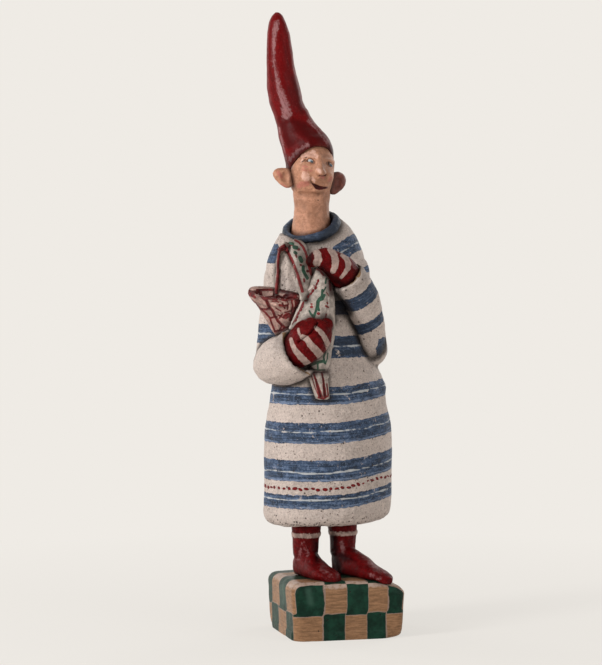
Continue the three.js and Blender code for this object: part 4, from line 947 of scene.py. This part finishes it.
# Painted shade on the hat's lower front, and painted highlights down its left side and round its brim
HAT_SHADE = [(4.5, 290, 126, 302, 129, 316, 140), (4.0, 284, 124, 288, 134, 291, 142),
    (2.0, 300, 142, 326, 150), (1, 294, 80, 302, 112)]
HAT_LIT = [((2.6, 1.8), 277, 24, 274, 42, 273.5, 62), ((1.6, 4.2), 273.5, 60, 278, 84, 284, 102, 287, 114),
    (1.5, 296, 70, 303, 100), (2.2, 290, 160, 297, 151, 308, 145), (1.6, 308, 121, 317, 130, 328, 145),
    (1.2, 279, 128, 284, 150, 288, 163)]
BASKET_RED = [(0.9, 248.7, 291, 249.5, 294, 252.5, 295), (0.7, 252, 292.3, 256, 292.8, 259.5, 291),
    (0.5, 252.5, 295, 255, 297.5),
    (0.45, 250, 299, 255, 303, 261, 309, 266, 313, 270, 318, 272, 324, 275, 331),
    (0.5, 257, 290, 264, 289.7, 270, 289.5, 280, 290, 286, 292, 293, 293.5, 300, 294.5),
    (0.7, 260.3, 291, 261, 295.5, 264, 298.5, 266.5, 300, 268, 304, 270, 308),
    (0.6, 270, 308, 273, 311, 275, 316, 278, 321, 282, 325, 284.5, 327),
    (0.5, 261.5, 309, 266, 309.3, 270, 308), (0.45, 271, 318, 274, 317, 277, 317),
    (0.85, 266, 298, 272, 297.5, 276, 299, 278, 296.5, 282, 298.5, 286, 299.5, 291, 298, 297, 298.5),
    (0.5, 274.8, 291, 273.8, 296), (0.9, 285, 296.5, 290, 294.5, 295, 296),
    (0.5, 279.5, 305, 284, 305.8, 287.5, 305.3), (0.35, 282.5, 303, 285, 308.5),
    (0.3, 287, 300, 288.5, 304, 287.5, 309.5), (0.3, 285, 312.5, 289, 311.3, 292, 310.5),
    (0.4, 291.5, 300, 292.8, 306, 291.5, 312), (1.2, 297.5, 300, 297.5, 307, 294, 313, 292, 318),
    (1.1, 285.5, 316.5, 288.3, 315), (0.35, 278.5, 315, 284, 318), (0.35, 282.5, 314, 279.5, 318),
    (0.5, 275, 331.3, 281, 331, 286, 327.5, 291, 327), (0.45, 279, 331.5, 282, 326),
    (0.5, 290, 320, 293, 321), (0.25, 272, 301, 279, 302), (0.25, 276, 308, 281, 311)]
# Paint lighter than the ground, standing for light on the basket's rim, which lies in shadow
BASKET_LIT = [(1.2, 263, 294, 267.5, 294.3, 272, 293.8), (0.75, 278.5, 293.8, 283, 294.8),
    (0.35, 251, 289.5, 256, 289, 262, 288.3), (0.6, 272, 303.5, 276, 305), (0.5, 290, 308, 288, 303)]
STRAP_PULLS = [(289, 255, 6, -1.7, 0), (293, 268, 6, -1.5, 0), (299, 284, 7, -1.5, 0), (277, 262, 6, -0.3, 0),
    (276, 282, 6, -0.3, 0)]
STRAP_RED = [((0.6, 0.95), 295, 240, 299, 242.2, 303, 246.6, 305.6, 252, 307.8, 259, 309, 265, 311.5, 274),
    (0.95, 284, 245.5, 287.5, 250.5, 290, 257, 293, 263, 295.5, 269, 298, 276, 300.5, 284, 302.5, 291),
    (1.5, 280.5, 249, 283.5, 247.3, 287, 250), ((0.8, 0.9), 279.8, 248.5, 278.5, 256, 278, 264, 278.2, 271),
    ((0.9, 1.2), 278.2, 271, 277.6, 280, 275.8, 293), (0.4, 290, 245.3, 293, 245.2),
    (0.85, 298.3, 249, 298.8, 249.2), (0.5, 296, 254.8, 296.6, 257), (0.6, 300.5, 264.8, 301, 265),
    (0.8, 307.5, 271, 308, 271.2), (0.6, 304, 279, 304.5, 281.5)]
STRAP_GREEN = [(0.85, 289.7, 243, 293, 243.7), (1.2, 294.4, 247, 296.5, 247.6), (0.95, 295, 252.3, 296, 253),
    (1.2, 300.2, 257.5, 301.5, 260.8), (0.95, 303.3, 266.5, 303.2, 270, 305, 273.8, 307.5, 278)]
CONE_RED = [(0.7, 311.5, 271, 311.5, 276), (0.6, 316, 268.5, 320, 270.5, 323.5, 275),
    (0.55, 329.5, 281, 330.5, 290), (0.5, 314, 285.5, 309, 290, 303.5, 294, 300, 297),
    (0.55, 311.3, 303.8, 311.8, 304), (0.75, 311, 306.8, 312, 306.9), (0.85, 318.2, 313.4, 318.8, 313.5),
    (0.5, 327.3, 302.5, 327.7, 303.5), (0.55, 326, 305.8, 328.5, 307.3), (0.5, 326.3, 314, 325.7, 317),
    (0.3, 326.5, 292, 329, 296), (0.4, 302.8, 303, 300.8, 308, 298.5, 312.6, 295.3, 319.7, 292.4, 324)]
CONE_RIDGE = (313, 286, 309, 289.5, 304.5, 294, 301.8, 298, 300.7, 303,
    298.5, 308.5, 295, 314.5, 292, 321, 289.5, 328)
CONE_DABS = (318, 280.5, 316, 287, 311, 293, 306.5, 297, 304, 302, 302, 307.5, 298.5, 314, 296, 320.5)
CONE_GREEN = [(0.55, 326.3, 278.5, 325.6, 283), (0.45, 326, 287, 323.5, 291.5),
    (0.75, 322.5, 290, 322, 296), ((0.7, 1.1), 322, 296, 319.5, 299, 318, 302),
    ((1.1, 0.75), 318, 302, 317.7, 307, 319, 310), (0.75, 324.5, 295, 322.7, 299, 320, 300),
    ((0.7, 0.8), 317, 306, 316, 311, 313.8, 316.5), ((0.5, 0.9), 309.3, 310.5, 311, 314, 313.8, 316.5),
    (0.6, 325.5, 352, 323.8, 357, 324.8, 363), (0.35, 328, 353, 327.3, 359, 325.5, 364),
    (0.9, 324, 361, 317, 362.5, 311, 365), (0.55, 317.7, 362, 318, 368.5), (1.1, 305, 365, 309, 368),
    (0.45, 311, 369, 318, 370, 325, 370)]
TIP_RED = [((0.5, 1.3), 313.5, 373, 316.5, 382, 318.5, 389, 321, 397),
    ((0.5, 1.05), 322, 373, 323.6, 381, 324.3, 389, 325, 396), (0.3, 311, 374, 315, 387, 318.5, 396),
    (0.4, 327, 384, 328.3, 395), (0.6, 318.5, 397.5, 323.5, 399, 328, 396)]
# Painted shadow beside the left mitten and under the right one
ORNAMENT_SHADOW_STROKES = [(1.9, 331, 273, 333, 292), (0.8, 306, 366, 312, 369)]
STRAP_RIMS = [line for half, *line in STRAP_RED[:5]]
STRIPE_PITCH = 7.6      # mm between the stripes on the mittens' hidden sides
HAT_MIDDLE = ((260, 283, 300, 318, 340, 356), (-13, -15, -22, -29, -33, -35))       # heights, and x there
HAT_RADIUS = 8

# The block: where the edges of its checks lie in mm and how they count, and half the flat middle of its foot

COLUMNS = ((-60, -14.6, -2, 10.8, 22, 60), (0.1, 1, 2, 3, 4, 4.9))
ROWS = ((-50, -31.4, -15.3, 1.4, 18.8, 31.4, 50), (-2, 0, 1, 2, 3, 4, 6))
TIERS = ((-10, 14.8, 45), (-0.6, 1, 2.6))
FLAT_HALF = 24.2
STEEL_NODES = ("leg_rod_right", "leg_rod_left", "wrist_pin_right", "wrist_pin_left")


class ELF_OT_block(bpy.types.Operator):
    """Makes the chequered block, its felt and the hidden rods"""
    bl_idname = "elf.block"
    bl_label = "Block"

    def execute(self, context):
        block = carving("painted_block", "plinth", 0.55, 1.0, swell=0.1)
        roughen(block, (0.3, 13), (0.12, 4.5, 3))
        # The top dips towards its front right corner, and less towards its rear left one
        p = coordinates(block.data)
        high = ramp(p[:, 2], 20, 32)
        p[:, 2] -= (3.6 * ramp(p[:, 0], 14, 33) * high * ramp(-p[:, 1], -34, 20)
                    + 0.9 * ramp(-p[:, 0], 0, 25) * high * ramp(p[:, 1], -15, 25))
        # The rounded foot is drawn out and down, hardly so at those two corners
        core = p[:, :2].clip(-FLAT_HALF, FLAT_HALF)
        out = p[:, :2] - core
        reach = np.maximum(np.linalg.norm(out, axis=1), 0.01)
        low = ramp(reach, 0.8, 2.0) * np.clip(1.2 - p[:, 2] / 4.2, 0, 1)
        low *= 1 - 0.9 * ramp(np.abs(p[:, 0] - p[:, 1]), 46, 60)
        p[:, :2] = core + out * np.minimum(1 + 3.2 * low / reach, np.maximum(8.2 / reach, 1))[:, None]
        p[:, 2] = np.maximum(p[:, 2] - 0.9 * low, 0.1)
        move_to(block.data, p)
        # The lower checks lie a little aside, and the seam between the tiers jogs from check to check
        foot = ramp(-p[:, 2], -16.5, -14)
        columns = np.interp(p[:, 0] + 0.8 * foot, *COLUMNS)
        rows = np.interp(p[:, 1] - 3.6 * foot * ramp(-p[:, 1], -30, -22), *ROWS)
        tiers = np.interp(p[:, 2], *TIERS)
        jog = np.where((np.floor(columns) + np.floor(rows)) % 2, 0.04, -0.04)
        tiers += jog * ramp(-np.abs(p[:, 2] - TIERS[0][1]), -8, -4)
        rim = ramp(p[:, 2], 26.5, 31) * ramp(np.abs(p[:, :2]).max(axis=1), 24, 29)
        note(block, column=columns, row=rows, tier=tiers, rim=rim)
        # Painted highlights on the green checks by the block's front corner
        note_strokes(block, shine=[(1.6, 308.5, 592, 309.5, 598, 311, 605), (0.8, 283, 588, 283.5, 604)])
        paint_piece(block, "plinth", chequered_paint())
        felt = carving("felt_pad", "felt_base", 0.25, 0.2, swell=0.0)
        finish_piece(felt, "felt_base", green_felt())
        steel = drawn_steel()
        for name in STEEL_NODES:
            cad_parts[name].data.materials.clear()
            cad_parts[name].data.materials.append(steel)
        return {"FINISHED"}


class ELF_OT_boots(bpy.types.Operator):
    """Makes the two boots with their white bands"""
    bl_idname = "elf.boots"
    bl_label = "Boots"

    def execute(self, context):
        # Painted highlights (glow) and the white bands
        layers = [("glow", *tones("boot_red", 1.2, (1.5, 0.18)), 1.6, 0.55),
                  ("white", *tones("band_white", 0.6, 1.2), 1.3, 0.95)]
        ground = tones("boot_red", 0.6, 1.2, 0.4, (1.3, 0.04))
        material = layered_paint("Acrylic_on_cast_polyresin_boots", ground, layers, 0.3, 0.05, "1a0305")
        for side, (low, high) in BOOT_BANDS.items():
            node = "boot_" + side
            boot = carving("boot_paint_" + side, node, 0.45, 0.9)
            # The leg flares towards the other one
            inward = from_row(normals(boot.data))[:, 0] * (1 if side == "right" else -0.6)
            flare = ramp(coordinates(boot.data)[:, 2], 50, 66) * ramp(inward, -0.2, 0.6)
            roughen(boot, (0.25, 7), (0.12, 2.5, 5), more=0.2 + 1.1 * flare)
            pull(boot, BOOT_PULLS[side])
            for fold in BOOT_FOLDS[side]:
                press(boot, [(0.5, -0.45, 1.2, *fold), (0.6, 0.4, 1.2, *moved(fold, 2.2, 1.6))])
            p = coordinates(boot.data)
            emboss(boot, ramp(between(p[:, 2], low, high), -0.5, 0.4) * (0.35 + 0.35 * lumps(p, 1.6, 9)))
            note_deepest(boot, white=[between(coordinates(boot.data)[:, 2], low, high)])
            note_strokes(boot, glow=BOOT_LIT[side])
            paint_piece(boot, node, material, BOOT_SHADOW_STROKES[side], BOOT_LESS_SHADE[side])
        return {"FINISHED"}


class ELF_OT_gown(bpy.types.Operator):
    """Makes the gown with its sleeves, stripes and the red dabs above its hem"""
    bl_idname = "elf.gown"
    bl_label = "Gown and sleeves"

    def execute(self, context):
        gown = carving("painted_gown", "gown", 0.8, 2.0)
        # Near its hem the casting is rougher, and thicker and lower towards the view's left
        p = coordinates(gown.data)
        right = from_row(p)[:, 0]
        low = ramp(-p[:, 2], -74, -64)
        roughen(gown, (size("gown_lumps"), 15), (0.18, 5, 2), (0.1, 2.4, 4),
                more=0.8 * low * (1 - ramp(right, 2, 26)) + 0.25 * low * lumps(p, 3, 5))
        p = coordinates(gown.data)
        p[:, 2] += low * (0.3 * ramp(right, 10, 28) - 0.8 * ramp(-right, 12, 30))
        move_to(gown.data, p)
        pull(gown, GOWN_PULLS)
        bulge(gown, GOWN_BULGES)
        press(gown, [(0.5, share * size("fold_depth"), 1.3, *fold) for share, *fold in STRAP_FOLDS])
        press(gown, [(1.0, -1.3, 0.8, *rim) for rim in STRAP_RIMS])
        note_gown(gown)
        note_bare(gown, "raw", "lip")
        note_strokes(gown, navy=GOWN_SHADED_BLUE, trim=GOWN_TRIM)
        pieces = [(gown, "gown")]
        for side, navy in ARM_SHADED_BLUE.items():
            node = "sleeve_" + side
            sleeve = carving("painted_" + node, node, 0.5, 1.1)
            roughen(sleeve, (0.35, 11), (0.16, 4, 2), (0.09, 2, 4))
            bulge(sleeve, SLEEVE_BULGES[side])
            cuff(sleeve, CUFF_BARE[side], CUFF_LIP_HIGHLIGHTS[side])
            note_sleeve(sleeve, side == "left")
            note(sleeve, navy=np.full(len(sleeve.data.vertices), navy))
            pieces.append((sleeve, node))
        material = gown_paint()
        for obj, node in pieces:
            paint_piece(obj, node, material, GOWN_SHADOW_STROKES, GOWN_LESS_SHADE)
        # The dabs follow a ring above the hem, found on the gown from outside
        rays = []
        for step in range(RING_STEPS):
            angle = 2 * math.pi * step / RING_STEPS
            x, y = RING_START * math.cos(angle), RING_START * math.sin(angle)
            level = BLOCK_TOP + DOT_LEVEL + sink(SKIRT_HALF * math.cos(angle))
            rays.append((to_row(x + SKIRT_AXIS, y, level), to_row(SKIRT_AXIS, 0, level)))
        dabs("hem_dabs", hits(gown, rays), True, gown, "mitten_paint", Pitch=size("dab_pitch") * MM,
             Length=size("dab_length") * MM, Width=size("dab_width") * MM, Height=0.25 * MM, Drift=0.4 * MM,
             Slant=-0.75, Seed=4, Paint=dab_paint())
        return {"FINISHED"}


class ELF_OT_collar(bpy.types.Operator):
    """Makes the rolled blue collar"""
    bl_idname = "elf.collar"
    bl_label = "Collar"

    def execute(self, context):
        collar = carving("painted_collar", "collar", 0.38, 0.6)
        roughen(collar, (0.28, 6), (0.14, 2.2, 3))
        press(collar, [(0.3, -0.5, 0.7, 305, 236, 307, 240, 308, 243)])
        note(collar, course=coordinates(collar.data)[:, 2])
        note_strokes(collar, 2 * KEPT, shade=COLLAR_SHADE, glow=COLLAR_LIT)
        material = lacquer("Satin_acrylic_on_cast_polyresin_collar", "collar_blue", 0.4, 0.15, 0.14,
                           contrast=1.3, wash="0d0f14")
        paint_piece(collar, "collar", material)
        return {"FINISHED"}


class ELF_OT_mittens(bpy.types.Operator):
    """Makes the striped mittens"""
    bl_idname = "elf.mittens"
    bl_label = "Mittens"

    def execute(self, context):
        white = ("white", *tones("band_white", 0.68, 1.1), 0.45, 0.97)
        ground = tones("mitten_red", 0.62, 1.25, 0.4, (1.4, 0.03))
        material = layered_paint("Acrylic_on_cast_polyresin_mittens", ground, [white], 0.33, 0.05, "0c0202")
        for side, across_hand in (("left", (-0.87, 0.5)), ("right", (0.74, 0.67))):
            node = "mitten_" + side
            hand = carving("painted_" + node, node, 0.36, 0.6)
            roughen(hand, (0.25, 5), (0.1, 2, 3))
            press(hand, HAND_FOLDS[side])
            # The stripes that the camera sees are drawn one by one, and the others run evenly across the hand
            plane = as_seen(coordinates(hand.data))
            front = np.max([stroke(plane, half, line) for half, *line in HANDS[side]], axis=0)
            wave = 1.5 * np.cos(2 * math.pi * (plane @ np.array(across_hand) + 0.5) / STRIPE_PITCH)
            note_deepest(hand, white=[np.where(facing(hand) > 0.02, front, wave)])
            paint_piece(hand, node, material, MITTEN_SHADOW_STROKES)
        return {"FINISHED"}


class ELF_OT_head(bpy.types.Operator):
    """Makes the head with its face and the ears"""
    bl_idname = "elf.head"
    bl_label = "Head and ears"

    def execute(self, context):
        # Painted shade, a dark umber that is partly painted shade, painted highlights (glow), then blush,
        # eyes, lids and mouth
        layers = [("shade", *tones("skin", 0.5, 0.72), 1.8, 0.6), ("umber", "4c1f1d", "6e302c", 1.0, 0.88),
                  ("glow", "d5a38f", "ecc4b5", 1.2, 0.62), ("blush", *tones("blush", 0.9, 1.2), 1.7, 0.6),
                  ("eyes", "8f9aa3", "bcc5ca", 0.12, 1.0), ("iris", "44525b", "667a85", 0.15, 1.0),
                  ("dark", "2a1c17", "3f2d22", 0.15, 0.92), ("mouth", "2e0305", "6c1114", 0.25, 1.0)]
        ground = tones("skin", 0.8, (1.14, 0.02), 0.55, (1.3, 0.1))
        material = layered_paint("Acrylic_on_cast_polyresin_skin", ground, layers, 0.4, 0.22, "40241b")
        head = carving("painted_head", "head", 0.33, 0.7)
        roughen(head, (0.2, 6), (0.12, 2, 3))
        bulge(head, [(-24, 0, 253, 8, 0.9), (-2, 2, 253, 8, 0.9)])
        press(head, HEAD_PRESSES)
        note_strokes(head, **FACE)
        # Less dark wash and painted shade along the hat's rim
        paint_piece(head, "head", material, less_shade=[(5, 301, 163, 308, 152, 320, 148, 331, 156)])
        for side in ("right", "left"):
            node = "ear_" + side
            ear = carving("painted_" + node, node, 0.33, 0.5)
            roughen(ear, (0.2, 5), (0.1, 2, 3))
            note_strokes(ear, blush=EAR_RED)
            bare = [name for name in FACE if name not in ("blush", "umber")]
            # The left ear is painted dark umber all over, partly standing for shade
            if side == "left":
                pull(ear, [(341, 176, 7, 0.2, 1.5), (332, 192, 5, 0, -0.9)])
                note(ear, umber=np.full(len(ear.data.vertices), KEPT))
            else:
                bare.append("umber")
            note_bare(ear, *bare)
            # Less dark wash and painted shade on the right ear's rim
            paint_piece(ear, node, material, less_shade=[(3.5, 276, 171, 284, 177)])
        return {"FINISHED"}


class ELF_OT_hat(bpy.types.Operator):
    """Makes the tall pointed hat"""
    bl_idname = "elf.hat"
    bl_label = "Hat"

    def execute(self, context):
        hat = carving("lacquered_hat", "hat", 0.42, 0.9)
        pull(hat, HAT_PULLS)
        roughen(hat, (0.35, 9), (0.12, 3, 3))
        bulge(hat, [(-30, 0, 280, 14, 0.9), (-5, -4, 292, 12, 0.8)])
        press(hat, HAT_PRESSES)
        p = from_row(coordinates(hat.data))
        centre = np.interp(p[:, 2], *HAT_MIDDLE)
        note(hat, course=np.arctan2(p[:, 1], p[:, 0] - centre) * HAT_RADIUS)
        # Painted shade and painted highlights; the raised places' lighter red is partly rubbed wear, partly
        # painted sheen
        note_strokes(hat, 2 * KEPT, shade=HAT_SHADE, glow=HAT_LIT)
        material = lacquer("Lacquer_on_cast_polyresin_hat", "hat_red", 0.36, 0.08, 0.07, "8a453c", 0.6)
        paint_piece(hat, "hat", material)
        return {"FINISHED"}


class ELF_OT_ornaments(bpy.types.Operator):
    """Makes the woven basket with its strap and the painted paper cone with its tip"""
    bl_idname = "elf.ornaments"
    bl_label = "Ornaments"

    def execute(self, context):
        basket = carving("painted_basket", "woven_basket", 0.33, 0.4)
        # The rim is thick, and its front stands higher
        before = from_row(coordinates(basket.data))
        roughen(basket, (0.15, 4), (0.12, 1.8, 3), more=0.7 * ramp(before[:, 2], 187, 195))
        p = coordinates(basket.data)
        p[:, 2] += 2.4 * ramp(before[:, 2], 189, 196) * ramp(before[:, 1], -23, -15)
        move_to(basket.data, p)
        press(basket, [(0.15, -0.4, 0.6, *line) for half, *line in BASKET_RED[3:]])
        note(basket, red=1.2 * strokes(basket, [(1.35 * half, *line) for half, *line in BASKET_RED]))
        # Painted light on the rim in shadow, which also gets less dark wash and painted shade
        note_strokes(basket, lit=BASKET_LIT)
        weave = [("lit", *tones("basket_pink", 1.3, (1.9, 0.05)), 1.2, 0.9),
                 ("red", *tones("trim_red", 0.4, 1.1), 0.6, 0.96)]
        dark, light, flecks = tones("basket_pink", 0.5, 1.15, 1.45)
        ground = dark, light, tone("trim_red", 1.2), flecks
        material = layered_paint("Acrylic_on_cast_polyresin_basket", ground, weave, wash="220907")
        paint_piece(basket, "woven_basket", material, less_shade=BASKET_LIT[:2])
        strap = carving("painted_strap", "basket_handle", 0.33, 0.35)
        roughen(strap, (0.15, 3))
        pull(strap, STRAP_PULLS)
        press(strap, [(0.7, 0.6, 0.5, *rim) for rim in STRAP_RIMS])
        cone = carving("painted_cone", "paper_cone", 0.36, 0.45)
        roughen(cone, (0.15, 5), (0.09, 2, 3))
        press(cone, [(0.6, 0.7, 0.7, *CONE_RIDGE), (0.4, -0.4, 1.2, *moved(CONE_RIDGE, 5, 1)),
                     (0.2, -0.5, 0.9, 327, 290, 328, 305, 326, 325)])
        tip = carving("painted_tip", "cone_tip", 0.32, 0.3)
        press(tip, [(0.1, -0.5, 0.6, *line) for half, *line in TIP_RED[:4]])
        # The ridge coat is a painted highlight along the cone's pressed ridge
        layers = [("red", *tones("trim_red", 0.6, 1.5), 0.4, 0.96),
                  ("green", *tones("leaf_green", 0.45, 1.5), 0.35, 0.96),
                  ("ridge", *tones("paper_white", (1.2, 0.05), (1.35, 0.1)), 0.25, 0.9)]
        ground = tones("paper_white", 0.6, 1.12, 0.4, 1.35)
        material = layered_paint("Acrylic_on_cast_polyresin_paper", ground, layers, wash="2b1211")
        # Less dark wash and painted shade along the strap's rims, over its inner panel and along the cone's
        # ridge
        less_shade = [(2, *STRAP_RIMS[3]), (2, *STRAP_RIMS[4]), (5.5, 289, 247, 297, 262, 304, 285),
                 (1.2, *CONE_RIDGE)]
        for obj, node, red, green, ridge in ((strap, "basket_handle", STRAP_RED, STRAP_GREEN, []),
                                             (cone, "paper_cone", CONE_RED, CONE_GREEN, [(0.5, *CONE_RIDGE)]),
                                             (tip, "cone_tip", TIP_RED, [], [])):
            note_strokes(obj, red=red, green=green, ridge=ridge)
            paint_piece(obj, node, material, ORNAMENT_SHADOW_STROKES, less_shade)
        eye = to_row(0, -EYE_DISTANCE, EYE_HEIGHT)
        places = hits(cone, [(eye, to_row(x, 0, z)) for x, z in seen(CONE_DABS)])
        dabs("ridge_dabs", places, False, cone, "mitten_paint", Pitch=2.1 * MM, Length=2.3 * MM,
             Width=1.6 * MM, Height=0.3 * MM, Drift=0.2 * MM, Slant=0.6, Seed=9,
             Paint=bpy.data.materials["Thick_red_acrylic_dabs"])
        return {"FINISHED"}


# The stage

# The camera's lens in mm and its angles, what the lamps aim at and half the floor in m; then the lamps, each
# with its place before the camera, its width and height in m and its watts

LENS = 131.8
PITCH, YAW = math.radians(87.38), math.radians(0.81) - TURN
AIM, FLOOR_HALF = Vector((0, 0, 0.17)), 6.0
LAMPS = (("key", (-1.15, -0.85, 0.62), 0.3, 0.95, 17.0), ("fill", (1.2, -0.9, 0.5), 0.7, 0.9, 4.5),
         ("edge", (-0.95, 0.85, 0.6), 0.3, 0.9, 2.6), ("rim", (0.75, 0.95, 0.7), 0.4, 0.9, 3.4))


def sight(tree):
    """1 for rays that come straight from the camera, off a gloss or through glass, and 0 for the rest."""
    seen_by = add(tree, "LightPath", out="Is Camera Ray")
    for ray in ("Is Glossy Ray", "Is Transmission Ray"):
        seen_by = add(tree, "Math", (seen_by, add(tree, "LightPath", out=ray)), operation="MAXIMUM")
    return seen_by


class ELF_OT_stage(bpy.types.Operator):
    """Makes the pale floor, the room's light, the lamps and the camera"""
    bl_idname = "elf.stage"
    bl_label = "Stage"

    def execute(self, context):
        scene = context.scene
        build = bmesh.new()
        bmesh.ops.create_grid(build, x_segments=1, y_segments=1, size=FLOOR_HALF)
        mesh = bpy.data.meshes.new("floor")
        build.to_mesh(mesh)
        build.free()
        floor = bpy.data.objects.new("floor", mesh)
        scene.collection.objects.link(floor)
        material, tree = blank("Matt_paper_floor")
        plain = add(tree, "BsdfDiffuse", {"Color": tone("backdrop")})
        glow = add(tree, "Emission", {"Color": tone("backdrop"), "Strength": 1.0})
        far = add(tree, "VectorMath", (add(tree, "TexCoord", out="Object"),), out="Value", operation="LENGTH")
        far = add(tree, "MapRange", (far, 0.08, 0.45, 0.74))
        share = add(tree, "Math", (sight(tree), far), operation="MULTIPLY")
        add(tree, "OutputMaterial", {"Surface": add(tree, "MixShader", (share, plain, glow))})
        mesh.materials.append(material)

        world = bpy.data.worlds.new("Studio")
        scene.world = world
        world.use_nodes = True
        tree = world.node_tree
        tree.nodes.clear()
        room = add(tree, "Background", {"Color": (1, 0.985, 0.96, 1), "Strength": 0.36})
        wall = add(tree, "Background", {"Color": tone("backdrop"), "Strength": 1.0})
        add(tree, "OutputWorld", {"Surface": add(tree, "MixShader", (sight(tree), room, wall))})

        for name, place, wide, tall, watts in LAMPS:
            lamp = bpy.data.lights.new(name, "AREA")
            lamp.shape = "RECTANGLE"
            lamp.size, lamp.size_y = wide, tall
            lamp.energy = watts
            obj = bpy.data.objects.new(name, lamp)
            obj.location = to_row(*place)
            obj.rotation_euler = (AIM - obj.location).to_track_quat("-Z", "Y").to_euler()
            scene.collection.objects.link(obj)

        lens = bpy.data.cameras.new("camera")
        lens.lens = LENS
        lens.clip_start = 0.05
        camera = bpy.data.objects.new("camera", lens)
        camera.location = to_row(0, -EYE_DISTANCE, EYE_HEIGHT) * MM
        camera.rotation_euler = (PITCH, 0, YAW)
        scene.collection.objects.link(camera)
        scene.camera = camera
        scene.view_settings.view_transform = "Standard"
        return {"FINISHED"}


OPERATORS = (ELF_OT_stage, ELF_OT_block, ELF_OT_boots, ELF_OT_gown, ELF_OT_collar, ELF_OT_mittens,
             ELF_OT_head, ELF_OT_hat, ELF_OT_ornaments)


class ELF_PT_panel(bpy.types.Panel):
    """Lists the figure's settings and the steps that make it"""
    bl_idname = "ELF_PT_panel"
    bl_label = "Painted Elf Figure"
    bl_space_type = "VIEW_3D"
    bl_region_type = "UI"
    bl_category = "Elf"

    def draw(self, context):
        for group in (context.scene.elf_sizes, context.scene.elf_colours):
            for name in group.__annotations__:
                self.layout.prop(group, name)
        for step in OPERATORS:
            self.layout.operator(step.bl_idname)


CLASSES = (ElfSizes, ElfColours) + OPERATORS + (ELF_PT_panel,)


def register():
    for item in CLASSES:
        bpy.utils.register_class(item)
    bpy.types.Scene.elf_sizes = bpy.props.PointerProperty(type=ElfSizes)
    bpy.types.Scene.elf_colours = bpy.props.PointerProperty(type=ElfColours)


def unregister():
    del bpy.types.Scene.elf_sizes
    del bpy.types.Scene.elf_colours
    for item in reversed(CLASSES):
        bpy.utils.unregister_class(item)


def main():
    register()
    for step in OPERATORS:
        group, name = step.bl_idname.split(".")
        if getattr(getattr(bpy.ops, group), name)() != {"FINISHED"}:
            raise RuntimeError(step.bl_label + " wasn't made")


if __name__ == "__main__":
    main()
